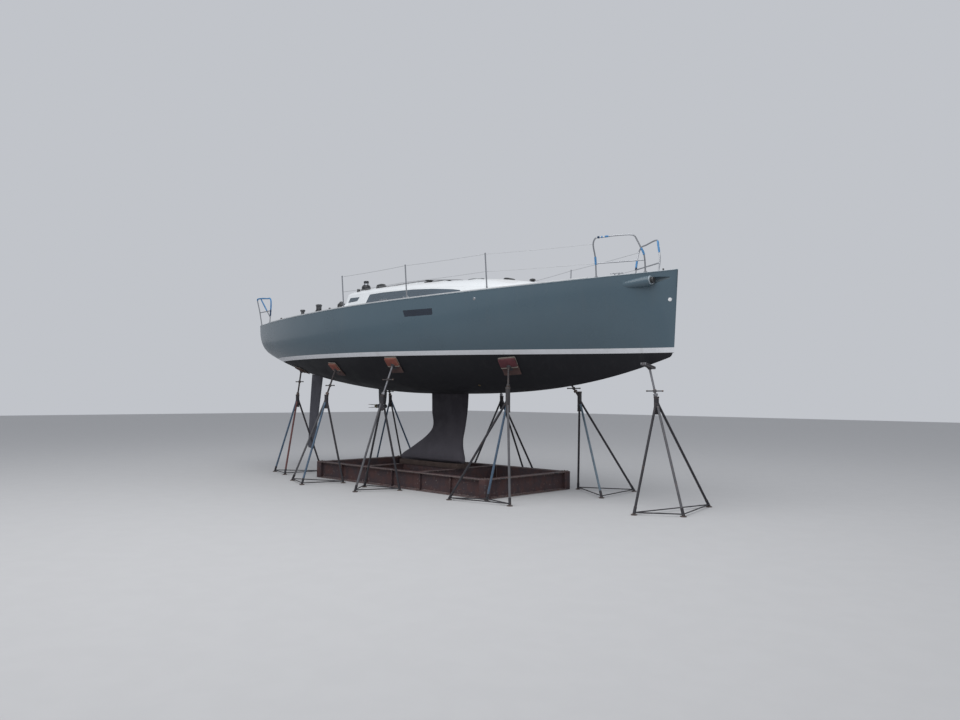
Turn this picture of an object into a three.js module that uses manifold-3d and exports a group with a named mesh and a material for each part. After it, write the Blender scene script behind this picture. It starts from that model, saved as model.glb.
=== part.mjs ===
// Sailing yacht ashore: keel on a steel cradle, hull held by screw stands.
// Millimetres. x runs from the stern (0) to the bow, y to port, z up from the ground.
import * as THREE from 'three';
import { mergeVertices } from 'three/addons/utils/BufferGeometryUtils.js';
import Module from 'manifold-3d';

const wasm = await Module();
wasm.setup();

// Hull form.
const lengthOverall = 10990;
const floatLevel = 2546;
const floatSlope = -0.00859;
const midLength = 5500;
const beamHalf = 1802;
const beamStation = 4590;
const transomHalf = 1060;
const bowFullness = 1.689;
const stemHalf = 20;
const sheerRise = { stern: 897, middle: 975, bow: 1313 };
const sheerMiddle = 0.4;
const bodyDepth = 701;
const bodyStation = 5203;
const transomLift = 62;
const forefootFullness = 3.0;
const forefootRise = 651;
const forefootRadius = 60;
const stemRake = 78;
const transomRake = 43;
const shellWall = 60;
const soleLevel = 2216;
const cavityAft = 60;
const cavityFore = 9900;
const contactGap = 0.3;

// Deck, coachroof and cockpit.
const deckEdge = 18;
const deckCamber = 70;
const roofWall = 45;
const wellSole = 2990;
const wellLiner = 40;
const wellFore = 3600;
const bulkheadFore = 3640;
const wellHalf = 370;
const helmWellHalf = 600;
const helmWellFore = 1850;
const seatLevel = 3400;
const seatHalf = 940;
const companionHalf = 290;
const companionSill = 3430;
const companionFore = 4300;

// Fins.
const keelFoot = 446;
const rudderTop = { x: 1075, z: 2262 };
const rudderRake = 0.152;

// Cradle and stands.
const cradle = { aft: 2777, fore: 7928, half: 1189, height: 349, beam: 150 };
const standHub = 1780;

// Frame: the origin is on the ground midway between the ends.
const bowReach = 11320;
const originX = bowReach / 2;

const paint = {
  topside: { color: 0x55606a, roughness: 0.25, metalness: 0.0 },
  antifoul: { color: 0x2a2a2e, roughness: 0.85, metalness: 0.0 },
  keel: { color: 0x3a363b, roughness: 0.8, metalness: 0.1 },
  deck: { color: 0xe9e9e6, roughness: 0.45, metalness: 0.0 },
  tint: { color: 0x24282c, roughness: 0.1, metalness: 0.0 },
  steel: { color: 0xc9ccce, roughness: 0.25, metalness: 1.0 },
  bronze: { color: 0xa88a52, roughness: 0.4, metalness: 0.9 },
  carbon: { color: 0x17181a, roughness: 0.35, metalness: 0.0 },
  black: { color: 0x1d1e20, roughness: 0.6, metalness: 0.0 },
  rust: { color: 0x6b3a2c, roughness: 0.9, metalness: 0.2 },
  blue: { color: 0x2d4b78, roughness: 0.6, metalness: 0.2 },
  grey: { color: 0x7c8084, roughness: 0.6, metalness: 0.3 },
  pad: { color: 0xb4472e, roughness: 0.85, metalness: 0.0 },
  timber: { color: 0x8a6c4c, roughness: 0.9, metalness: 0.0 },
  engine: { color: 0x5f6468, roughness: 0.6, metalness: 0.4 },
};

const yacht = new THREE.Group();
yacht.position.set(-originX, 0, 0);

// Solids: closed meshes joined and cut.
function solidOf(geometry) {
  const bare = geometry.clone();
  bare.deleteAttribute('normal');
  bare.deleteAttribute('uv');
  const merged = mergeVertices(bare, 1e-4);
  const mesh = new wasm.Mesh({
    numProp: 3,
    vertProperties: new Float32Array(merged.attributes.position.array),
    triVerts: new Uint32Array(merged.index.array),
  });
  return new wasm.Manifold(mesh);
}

function geometryOf(solid) {
  const mesh = solid.getMesh();
  const geometry = new THREE.BufferGeometry();
  geometry.setAttribute('position', new THREE.BufferAttribute(new Float32Array(mesh.vertProperties), 3));
  geometry.setIndex(new THREE.BufferAttribute(new Uint32Array(mesh.triVerts), 1));
  geometry.computeVertexNormals();
  return geometry;
}

function join(solids) {
  return solids.reduce((whole, next) => whole.add(next));
}

function cut(solid, tools) {
  return tools.reduce((whole, tool) => whole.subtract(tool), solid);
}

function put(name, solid, look) {
  const mesh = new THREE.Mesh(geometryOf(solid), new THREE.MeshStandardMaterial(look));
  mesh.name = name;
  yacht.add(mesh);
  return mesh;
}

function block(x0, x1, y0, y1, z0, z1) {
  const geometry = new THREE.BoxGeometry(x1 - x0, y1 - y0, z1 - z0);
  geometry.translate((x0 + x1) / 2, (y0 + y1) / 2, (z0 + z1) / 2);
  return solidOf(geometry);
}

function vector(p) {
  return new THREE.Vector3(p[0], p[1], p[2]);
}

// Round bar from a to b.
function rod(a, b, radius, sides = 8, endRadius = radius) {
  const from = vector(a);
  const to = vector(b);
  const along = to.clone().sub(from);
  const geometry = new THREE.CylinderGeometry(endRadius, radius, along.length(), sides);
  geometry.translate(0, along.length() / 2, 0);
  const turn = new THREE.Quaternion().setFromUnitVectors(new THREE.Vector3(0, 1, 0), along.normalize());
  geometry.applyQuaternion(turn);
  geometry.translate(from.x, from.y, from.z);
  return solidOf(geometry);
}

// Round tube along a smooth path through the points.
function tube(points, radius, steps, sides = 8) {
  const path = new THREE.CatmullRomCurve3(points.map(vector), false, 'centripetal');
  const section = new THREE.Shape();
  for (let i = 0; i < sides; i += 1) {
    const angle = (i / sides) * Math.PI * 2;
    const px = Math.cos(angle) * radius;
    const py = Math.sin(angle) * radius;
    if (i === 0) section.moveTo(px, py);
    else section.lineTo(px, py);
  }
  section.closePath();
  return solidOf(new THREE.ExtrudeGeometry(section, { steps, extrudePath: path, curveSegments: 1 }));
}

// Turned piece about a vertical axis; rows are [radius, height].
function turned(rows, place, sides = 12) {
  const geometry = new THREE.LatheGeometry(rows.map((r) => new THREE.Vector2(r[0], r[1])), sides);
  geometry.rotateX(Math.PI / 2);
  geometry.translate(place[0], place[1], place[2]);
  return solidOf(geometry);
}

// Skin over rings that all have the same count of points, with both ends closed.
function loft(rings) {
  const count = rings[0].length;
  const positions = [];
  const index = [];
  rings.forEach((ring) => ring.forEach((p) => positions.push(p[0], p[1], p[2])));
  for (let i = 0; i + 1 < rings.length; i += 1) {
    for (let j = 0; j < count; j += 1) {
      const k = (j + 1) % count;
      const a = i * count + j;
      const b = i * count + k;
      const c = (i + 1) * count + j;
      const d = (i + 1) * count + k;
      index.push(a, c, b, b, c, d);
    }
  }
  [0, rings.length - 1].forEach((i) => {
    const ring = rings[i];
    const centre = [0, 1, 2].map((n) => ring.reduce((sum, p) => sum + p[n], 0) / count);
    const hub = positions.length / 3;
    positions.push(centre[0], centre[1], centre[2]);
    for (let j = 0; j < count; j += 1) {
      const k = (j + 1) % count;
      if (i === 0) index.push(i * count + j, i * count + k, hub);
      else index.push(i * count + k, i * count + j, hub);
    }
  });
  let volume = 0;
  const at = (n) => new THREE.Vector3(positions[3 * n], positions[3 * n + 1], positions[3 * n + 2]);
  for (let i = 0; i < index.length; i += 3) {
    volume += at(index[i]).dot(at(index[i + 1]).cross(at(index[i + 2])));
  }
  if (volume < 0) index.reverse();
  const geometry = new THREE.BufferGeometry();
  geometry.setAttribute('position', new THREE.Float32BufferAttribute(positions, 3));
  geometry.setIndex(index);
  return solidOf(geometry);
}

// Flat plate cut to an outline in x and z, as thick as y0 to y1.
function sidePlate(outline, y0, y1) {
  const shape = new THREE.Shape(outline.map((p) => new THREE.Vector2(p[0], p[1])));
  const geometry = new THREE.ExtrudeGeometry(shape, { depth: y1 - y0, bevelEnabled: false });
  geometry.rotateX(Math.PI / 2);
  geometry.translate(0, y1, 0);
  return solidOf(geometry);
}

function clamp(value) {
  return Math.min(1, Math.max(0, value));
}

function ease(from, to, x) {
  const t = clamp((x - from) / (to - from));
  return t * t * (3 - 2 * t);
}

function mix(a, b, t) {
  return a + (b - a) * t;
}

// Value at x from a table of [x, value] rows.
function lookUp(rows, x) {
  if (x <= rows[0][0]) return rows[0][1];
  for (let i = 1; i < rows.length; i += 1) {
    if (x <= rows[i][0]) {
      const t = (x - rows[i - 1][0]) / (rows[i][0] - rows[i - 1][0]);
      return mix(rows[i - 1][1], rows[i][1], t);
    }
  }
  return rows[rows.length - 1][1];
}

function floatAt(x) {
  return floatLevel + (x - midLength) * floatSlope;
}

function halfBeam(x) {
  if (x > beamStation) {
    const u = (x - beamStation) / (lengthOverall - beamStation);
    return beamHalf * (1 - u ** bowFullness) + stemHalf;
  }
  const w = (beamStation - x) / beamStation;
  return beamHalf + stemHalf - (beamHalf + stemHalf - transomHalf) * w ** 2;
}

function sheerAt(x) {
  const t = x / lengthOverall;
  const m = sheerMiddle;
  const stern = (sheerRise.stern * (t - m) * (t - 1)) / m;
  const middle = (sheerRise.middle * t * (t - 1)) / (m * (m - 1));
  const bow = (sheerRise.bow * t * (t - m)) / (1 - m);
  return floatAt(x) + stern + middle + bow;
}

function bottomAt(x) {
  const stemFoot = lengthOverall - 15;
  if (x < bodyStation) {
    const w = (bodyStation - x) / bodyStation;
    return floatAt(x) - bodyDepth + (transomLift + bodyDepth) * w ** 1.9;
  }
  const u = clamp((x - bodyStation) / (stemFoot - bodyStation));
  const d = clamp((x - stemFoot + forefootRadius) / forefootRadius);
  const round = (1 - Math.sqrt(1 - d * d)) * forefootRadius * 0.9;
  return floatAt(x) - bodyDepth + forefootRise * u ** forefootFullness + round;
}

// Point of the hull skin: s is 0 on the centreline below and 1 at the sheer.
function skinAt(x, s, inset) {
  const fore = ease(5000, 10600, x);
  const aft = ease(5000, 0, x);
  const a = 3.059 + (1.607 - 3.059) * fore + (3.118 - 3.059) * aft;
  const b = 2.012 + (1.107 - 2.012) * fore + (2.463 - 2.012) * aft;
  const low = bottomAt(x) + inset;
  const z = low + (sheerAt(x) - low) * s;
  const y = Math.max(6, halfBeam(x) - inset) * (1 - (1 - s) ** a) ** (1 / b);
  const rake = -ease(8000, lengthOverall, x) * stemRake * (1 - s) + (1 - ease(0, 2500, x)) * transomRake * (1 - s);
  return [x + rake, y, z];
}

const stations = [0, 180, 400, 700, 1000, 1400, 1800, 2250, 2700, 3200, 3700, 4200, 4700, 5200, 5700, 6200, 6700,
  7150, 7550, 7900, 8250, 8550, 8850, 9100, 9350, 9580, 9800, 9980, 10150, 10300, 10430, 10540, 10640, 10730, 10800,
  10860, 10905, 10935, 10955, 10975, 10990];
const skinSteps = 14;

function hullRings(inset, top = 0) {
  return stations.map((x) => {
    const side = [];
    for (let i = 1; i <= skinSteps; i += 1) {
      side.push(skinAt(x, (i / skinSteps) ** 1.7, inset));
    }
    const low = skinAt(x, 0, inset);
    const port = side.slice().reverse();
    const ring = port.concat([[low[0], 0, low[2]]], side.map((p) => [p[0], -p[1], p[2]]));
    ring[0] = [ring[0][0], ring[0][1], ring[0][2] + top];
    ring[ring.length - 1] = [ring[ring.length - 1][0], ring[ring.length - 1][1], ring[ring.length - 1][2] + top];
    return ring;
  });
}

const hullOuter = loft(hullRings(0));
const hullGrown = loft(hullRings(-contactGap));
const hullInner = loft(hullRings(shellWall, 60));

// Deck surface.
function deckAt(x, y) {
  const half = halfBeam(x);
  return sheerAt(x) + deckEdge + deckCamber * (half / beamHalf) * (1 - (y / half) ** 2);
}

// Height that clears the deck under a round foot.
function footAt(x, y, radius) {
  const inner = Math.max(0, Math.abs(y) - radius);
  return Math.max(deckAt(x - radius, inner), deckAt(x + radius, inner)) + 3;
}

// Patch of deck: between two x, within a half width given at each end, from low to high above it.
function deckPatch(x0, x1, half0, half1, low, high, cuts = 6, y0 = -1) {
  const rings = [];
  const count = 4;
  for (let i = 0; i <= count; i += 1) {
    const t = i / count;
    const x = mix(x0, x1, t);
    const half = mix(half0, half1, t);
    const ring = [];
    for (let j = 0; j <= cuts; j += 1) {
      const y = mix(half, half * y0, j / cuts);
      ring.push([x, y, deckAt(x, y) + high]);
    }
    for (let j = cuts; j >= 0; j -= 1) {
      const y = mix(half, half * y0, j / cuts);
      ring.push([x, y, deckAt(x, y) + low]);
    }
    rings.push(ring);
  }
  return loft(rings);
}

const deckPlate = loft(stations.map((x) => {
  const half = halfBeam(x) + 4;
  const ring = [[x, half, sheerAt(x) + contactGap]];
  for (let i = 0; i <= 8; i += 1) {
    const y = half * (1 - i / 4);
    ring.push([x, y, sheerAt(x) + deckEdge + deckCamber * (half / beamHalf) * (1 - (y / half) ** 2)]);
  }
  ring.push([x, -half, sheerAt(x) + contactGap]);
  return ring;
}));

// Coachroof sections: x, half width at the foot, half width at the shoulder, shoulder height, crown height.
const roofRows = [
  { x: 3600, foot: 1150, shoulder: 1010, side: 3940, crown: 4148 },
  { x: 4300, foot: 1190, shoulder: 1030, side: 3945, crown: 4150 },
  { x: 5100, foot: 1200, shoulder: 1020, side: 3930, crown: 4142 },
  { x: 5800, foot: 1160, shoulder: 970, side: 3905, crown: 4120 },
  { x: 6500, foot: 1060, shoulder: 860, side: 3875, crown: 4088 },
  { x: 7200, foot: 900, shoulder: 690, side: 3840, crown: 4043 },
  { x: 7800, foot: 700, shoulder: 480, side: 3800, crown: 3955 },
  { x: 8250, foot: 480, shoulder: 290, side: 3768, crown: 3868 },
  { x: 8520, foot: 260, shoulder: 120, side: 3745, crown: 3780 },
];

function roofRing(row, inset, drop) {
  const foot = row.foot - inset;
  const shoulder = row.shoulder - inset;
  const side = row.side - inset * 0.3;
  const crown = row.crown - inset;
  const base = sheerAt(row.x) + drop;
  const half = [
    [foot, base],
    [mix(foot, shoulder, 0.55), mix(base, side, 0.55)],
    [shoulder, side],
    [shoulder * 0.9, mix(side, crown, 0.34)],
    [shoulder * 0.62, mix(side, crown, 0.72)],
    [shoulder * 0.32, mix(side, crown, 0.93)],
  ];
  const ring = half.map((p) => [row.x, p[0], p[1]]);
  ring.push([row.x, 0, crown]);
  half.slice().reverse().forEach((p) => ring.push([row.x, -p[0], p[1]]));
  return ring;
}

const roofOuter = loft(roofRows.map((row) => roofRing(row, 0, 15)));
const glassInner = loft(roofRows.map((row) => roofRing(row, 14, -5)));
const roofVoid = loft(roofRows.slice(0, 8).map((row, i) => {
  const ring = roofRing(row, roofWall, -60);
  if (i === 0) ring.forEach((p) => { p[0] = bulkheadFore; });
  return ring;
}));

// Cockpit coamings, low and wide: x, top height, half widths of the top's outer edge and of the outer foot.
const coamingRows = [
  { x: 1150, top: 3566, edge: 1150, outer: 1220 },
  { x: 1500, top: 3598, edge: 1230, outer: 1310 },
  { x: 1950, top: 3610, edge: 1270, outer: 1360 },
  { x: 2800, top: 3622, edge: 1310, outer: 1400 },
  { x: 3250, top: 3640, edge: 1290, outer: 1390 },
  { x: 3520, top: 3700, edge: 1180, outer: 1300 },
  { x: 3720, top: 3830, edge: 1060, outer: 1190 },
];

function coaming(side) {
  return loft(coamingRows.map((row) => {
    const base = sheerAt(row.x) + 12;
    return [
      [row.x, side * 960, base],
      [row.x, side * 966, row.top - 16],
      [row.x, side * 984, row.top],
      [row.x, side * (row.edge - 30), row.top - 8],
      [row.x, side * row.edge, row.top - 26],
      [row.x, side * row.outer, base],
    ];
  }));
}

// Cockpit: liner outside and the room inside it.
const linerOuter = join([
  block(30, helmWellFore + wellLiner, -helmWellHalf - wellLiner, helmWellHalf + wellLiner, wellSole - wellLiner, 3480),
  block(1500, bulkheadFore, -wellHalf - wellLiner, wellHalf + wellLiner, wellSole - wellLiner, 3480),
  block(600, bulkheadFore, -seatHalf - wellLiner, seatHalf + wellLiner, seatLevel - wellLiner, 3540),
]);
const linerGap = block(-50, cavityAft + 40, -helmWellHalf - wellLiner - contactGap, helmWellHalf + wellLiner + contactGap,
  wellSole - wellLiner - contactGap, 3700);
const wellRoom = [
  block(-80, helmWellFore, -helmWellHalf, helmWellHalf, wellSole, 3900),
  block(helmWellFore - 10, wellFore, -wellHalf, wellHalf, wellSole, 3900),
  block(640, wellFore, -seatHalf, seatHalf, seatLevel, 3900),
];

// Companionway: opening in the aft face and the roof, slides and sea hood.
const slideHalf = 305;
const hatchHalf = 330;
const hood = { aft: 4250, fore: 5100, half: 375, top: 4182 };
const slideRun = { half: 338, low: 4128, high: 4162 };
const slides = [1, -1].map((side) => join([
  block(3600, hood.aft + 20, side > 0 ? slideHalf : -366, side > 0 ? 366 : -slideHalf, 4050, slideRun.low),
  block(3600, hood.aft + 20, side > 0 ? slideRun.half : -366, side > 0 ? 366 : -slideRun.half, 4050, 4166),
]));
const hoodShell = block(hood.aft, hood.fore, -hood.half, hood.half, 4060, hood.top);
const companionCuts = [
  block(3500, 3720, -companionHalf, companionHalf, companionSill, 4400),
  block(3590, companionFore, -companionHalf, companionHalf, 3700, 4150),
  block(3590, hood.fore - 18, -slideRun.half, slideRun.half, slideRun.low, slideRun.high),
];
const washChannels = [1, -1].map((side) => join([
  block(3550, 3605, side > 0 ? 322 : -345, side > 0 ? 345 : -322, companionSill - 40, 4120),
  block(3550, 3562, side > 0 ? 300 : -345, side > 0 ? 345 : -300, companionSill - 40, 4120),
]));

// Deck hatches: x of both ends, half width, height of the frame's top.
const hatchRows = [
  { name: 'hatch_lid_saloon', aft: 5330, fore: 5870, half: 270, top: 4137, foot: 4030 },
  { name: 'hatch_lid_foredeck', aft: 8840, fore: 9390, half: 270, top: 3778, foot: 3690 },
];
const hatchLidThick = 16;
const hatchFrames = hatchRows.map((row) => block(row.aft, row.fore, -row.half, row.half, row.foot, row.top));
const hatchCuts = hatchRows.map((row) => block(row.aft + 55, row.fore - 55, -row.half + 55, row.half - 55, 3500, 4300));

// Cockpit lockers: lids on the seats, hinged outboard.
const lockerRows = [
  { name: 'locker_lid_port', side: 1 },
  { name: 'locker_lid_starboard', side: -1 },
];
const locker = { aft: 1950, fore: 3150, inner: 440, outer: 890, thick: 22 };
const lockerCuts = lockerRows.map((row) => {
  const inner = locker.inner + 30;
  const outer = locker.outer - 30;
  return row.side > 0
    ? block(locker.aft + 30, locker.fore - 30, inner, outer, 3300, 3420)
    : block(locker.aft + 30, locker.fore - 30, -outer, -inner, 3300, 3420);
});

// Anchor locker on the foredeck.
const anchorLid = { aft: 9600, fore: 10000, halfAft: 400, halfFore: 250 };
const anchorCut = deckPatch(anchorLid.aft + 50, anchorLid.fore - 130, 330, 260, -400, 60);

// Windows: outlines in x and z.
const longWindow = [
  [4366, 3698], [4410, 3892], [4440, 3899], [4868, 3903], [5725, 3888], [6250, 3860], [6700, 3818], [6884, 3788],
  [6950, 3748], [6945, 3712], [6900, 3694], [6400, 3670], [5492, 3652], [4895, 3664],
];
const aftWindow = [[3685, 3777], [3708, 3872], [3722, 3883], [4064, 3874], [4020, 3787]];
const hullWindow = [[6215, 3380], [6270, 3262], [6880, 3262], [6905, 3300], [6860, 3392]];

// Outline drawn in by a margin, each edge moved along its own normal.
function shrink(outline, by) {
  const count = outline.length;
  let area = 0;
  outline.forEach((p, i) => {
    const q = outline[(i + 1) % count];
    area += p[0] * q[1] - q[0] * p[1];
  });
  const turn = Math.sign(area);
  const inward = (p, q) => {
    const dx = q[0] - p[0];
    const dz = q[1] - p[1];
    const size = Math.hypot(dx, dz);
    return [(-dz / size) * turn, (dx / size) * turn];
  };
  return outline.map((p, i) => {
    const before = inward(outline[(i + count - 1) % count], p);
    const after = inward(p, outline[(i + 1) % count]);
    const scale = by / (1 + before[0] * after[0] + before[1] * after[1]);
    return [p[0] + (before[0] + after[0]) * scale, p[1] + (before[1] + after[1]) * scale];
  });
}

const roofWindowCuts = [longWindow, aftWindow].flatMap((outline) => [
  sidePlate(outline, 600, 1400),
  sidePlate(outline, -1400, -600),
]);
const hullWindowCuts = [sidePlate(hullWindow, 1200, 1900), sidePlate(hullWindow, -1900, -1200)];

// Deck fittings that are moulded in: winch pads.
const winchRows = [
  {
    name: 'winch_primary',
    x: 2820,
    y: 1235,
    foot: 3640,
    pad: 80,
    turn: [[0, 0], [74, 0], [74, 18], [60, 32], [58, 100], [68, 110], [70, 140], [50, 152], [0, 154]],
  },
  {
    name: 'winch_roof',
    x: 3740,
    y: 640,
    foot: 4108,
    pad: 104,
    turn: [[0, 0], [90, 0], [98, 14], [98, 90], [84, 114], [46, 122], [46, 134], [56, 142], [56, 168], [40, 178], [0, 180]],
  },
  {
    name: 'winch_aft',
    x: 2010,
    y: 1130,
    foot: 3622,
    pad: 62,
    turn: [[0, 0], [52, 0], [52, 10], [38, 18], [36, 68], [56, 78], [58, 112], [40, 122], [0, 124]],
  },
];
const winchPads = winchRows.flatMap((row) => [1, -1].map((side) => {
  const low = row.foot - 100;
  return rod([row.x, side * row.y, low], [row.x, side * row.y, row.foot], row.pad, 14);
}));

// Mast partner: a raised seat on the roof, half lengths of the collar that covers it.
const mastPlace = { x: 6490, seat: 4104, top: 4126, along: 200, across: 122 };
const mastRing = (grow, z) => {
  const ring = [];
  for (let i = 0; i < 18; i += 1) {
    const angle = (i / 18) * Math.PI * 2;
    const x = mastPlace.x + Math.cos(angle) * (mastPlace.along + grow);
    ring.push([x, Math.sin(angle) * (mastPlace.across + grow), z]);
  }
  return ring;
};
const mastFoot = loft([mastRing(12, 4030), mastRing(12, mastPlace.seat)]);

// Mainsheet track across the cockpit sole.
const track = { x: 2250, half: 355 };
const trackRail = block(track.x - 24, track.x + 24, -track.half, track.half, wellSole - 5, wellSole + 30);

const pedestal = { x: 1921, top: 4000 };

const deck = cut(
  cut(join([deckPlate, roofOuter, coaming(1), coaming(-1), linerOuter]), [roofVoid, ...wellRoom])
    .add(join([...slides, hoodShell, ...washChannels, ...hatchFrames, ...winchPads, mastFoot, trackRail])),
  [...companionCuts, ...hatchCuts, ...lockerCuts, anchorCut, ...roofWindowCuts],
);
put('deck', deck, paint.deck);

// Bowsprit: a straight tube that leaves the starboard bow.
const sprit = { tip: [10700, -215, 3668], pitch: 0.066, length: 2600, radius: 44, bore: 50 };
const spritAlong = [Math.cos(sprit.pitch), 0, Math.sin(sprit.pitch)];
const onSprit = (back) => sprit.tip.map((value, n) => value - spritAlong[n] * back);
const spritFairing = rod([9950, -360, 3600], onSprit(78), 50, 20, 66);
const spritCollar = rod(onSprit(79), onSprit(52), 66, 20, 62);
const spritTrough = rod([10655, -177, 3662], [10900, -75, 3700], 58, 20, 18);
const spritBore = rod(onSprit(2900), onSprit(-500), sprit.bore, 20);
put('bowsprit', rod(onSprit(sprit.length), onSprit(0), sprit.radius, 16), paint.carbon);

// Hull shell with its room inside.
const hullRoom = hullInner.intersect(block(cavityAft, cavityFore, -2000, 2000, soleLevel, 4200));
const rudderDown = [-Math.sin(rudderRake), 0, -Math.cos(rudderRake)];
const onStock = (up) => [rudderTop.x - rudderDown[0] * up, 0, rudderTop.z - rudderDown[2] * up];
const stockBore = rod(onStock(-20), onStock(900), 30, 12);
const spritBoss = join([spritFairing.subtract(block(10000, 10800, -210, 600, 3000, 4200)), spritCollar]);
const hull = cut(hullOuter.add(spritBoss), [
  hullRoom, linerGap, spritBore, spritTrough, stockBore, ...hullWindowCuts,
  block(9000, 10990, -600, 600, 3000, 4300).intersect(loft(stations.map((x) => {
    const half = halfBeam(x) + 400;
    return [[x, half, sheerAt(x)], [x, half, 4300], [x, -half, 4300], [x, -half, sheerAt(x)]];
  }))),
]);
put('hull', hull, paint.topside);

// Windows.
const glassSkin = roofOuter.subtract(glassInner);
[
  { name: 'window_long', outline: longWindow },
  { name: 'window_aft', outline: aftWindow },
].forEach((row) => {
  const port = sidePlate(shrink(row.outline, contactGap * 1.5), 600, 1400);
  const starboard = sidePlate(shrink(row.outline, contactGap * 1.5), -1400, -600);
  put(`${row.name}_port`, glassSkin.intersect(port), paint.tint);
  put(`${row.name}_starboard`, glassSkin.intersect(starboard), paint.tint);
});
const hullGlass = hullOuter.subtract(loft(hullRings(14, 60)));
put('window_hull_port', hullGlass.intersect(sidePlate(shrink(hullWindow, contactGap * 1.5), 1200, 1900)), paint.tint);
put('window_hull_starboard', hullGlass.intersect(sidePlate(shrink(hullWindow, contactGap * 1.5), -1900, -1200)), paint.tint);

// Companionway leaves.
put('sliding_hatch', block(3604, 4330, -hatchHalf, hatchHalf, slideRun.low + 6, slideRun.high - 6), paint.tint);
put('washboard', block(3569, 3594, -315, 315, companionSill + 5, 4142), paint.tint);

// Deck hatch lids, standing just clear of their frames.
hatchRows.forEach((row) => {
  const lid = block(row.aft + 12, row.fore - 12, -row.half + 12, row.half - 12, row.top + 5, row.top + 5 + hatchLidThick);
  put(row.name, lid, paint.tint);
});
lockerRows.forEach((row) => {
  const y0 = row.side > 0 ? locker.inner : -locker.outer;
  const y1 = row.side > 0 ? locker.outer : -locker.inner;
  put(row.name, block(locker.aft, locker.fore, y0, y1, seatLevel + 5, seatLevel + 5 + locker.thick), paint.deck);
});
put('anchor_locker_lid', deckPatch(anchorLid.aft, anchorLid.fore, anchorLid.halfAft, anchorLid.halfFore, 5, 17), paint.deck);

// Winch drums.
winchRows.forEach((row) => {
  [['port', 1], ['starboard', -1]].forEach(([label, side]) => {
    put(`${row.name}_${label}`, turned(row.turn, [row.x, side * row.y, row.foot + 5], 14), paint.steel);
  });
});

// Mast partner ring with its cover.
put('mast_collar', loft([
  mastRing(0, mastPlace.seat + contactGap),
  mastRing(0, mastPlace.top - 8),
  mastRing(-18, mastPlace.top),
]), paint.black);

// Rope clutches each side of the sliding hatch.
[['port', 1], ['starboard', -1]].forEach(([label, side]) => {
  const profile = [[4155, 4060], [4155, 4106], [4190, 4152], [4345, 4154], [4385, 4132], [4385, 4060]];
  const bank = sidePlate(profile, side * 640 - 55, side * 640 + 55);
  put(`clutches_${label}`, cut(bank, [roofOuter.translate([0, 0, contactGap])]), paint.black);
});

// Car of the mainsheet track.
put('mainsheet_car', cut(block(track.x - 60, track.x + 60, -70, 70, wellSole + 7, wellSole + 78), [
  block(track.x - 30, track.x + 30, -100, 100, wellSole - 10, wellSole + 36),
]), paint.black);

// Helm pedestal and the hub that carried the wheel.
put('helm_pedestal', join([
  loft([
    [wellSole + contactGap, 140, 130], [wellSole + 60, 110, 105], [3600, 80, 75], [3800, 92, 84], [3960, 104, 92],
    [pedestal.top, 78, 72],
  ].map(([z, hx, hy]) => {
    const ring = [];
    for (let n = 0; n < 12; n += 1) {
      const angle = (n / 12) * Math.PI * 2;
      ring.push([pedestal.x + Math.cos(angle) * hx, Math.sin(angle) * hy, z]);
    }
    return ring;
  })),
]), paint.black);
put('helm_hub', join([
  rod([pedestal.x - 102, 0, 3830], [pedestal.x - 142, 0, 3830], 45, 14),
  rod([pedestal.x - 140, 0, 3830], [pedestal.x - 172, 0, 3830], 22, 12),
]), paint.steel);

// Rails: toe rail with its stanchions on each side.
const stanchionRows = [4508, 6250, 7927];
const stanchionHeight = 618;
const stanchionLean = 45;
[['port', 1], ['starboard', -1]].forEach(([label, side]) => {
  const rows = [880, 1400, 2000, 3000, 4000, 5000, 6000, 7000, 8000, 8800, 9300, 9660];
  const rail = loft(rows.map((x) => {
    const out = side * (halfBeam(x) - 18);
    const inn = side * (halfBeam(x) - 42);
    const low = Math.max(deckAt(x, out), deckAt(x, inn)) + 3;
    return [[x, out, low], [x, out, low + 15], [x, inn, low + 15], [x, inn, low]];
  }));
  const posts = stanchionRows.map((x) => {
    const y = side * (halfBeam(x) - 48);
    const foot = footAt(x, y, 26);
    return join([
      rod([x, y, foot], [x - 4, y + side * stanchionLean, foot + stanchionHeight], 13, 8),
      rod([x, y, foot], [x, y, foot + 40], 26, 8, 16),
    ]);
  });
  put(`rail_${label}`, join([rail, ...posts]), paint.steel);
});

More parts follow.
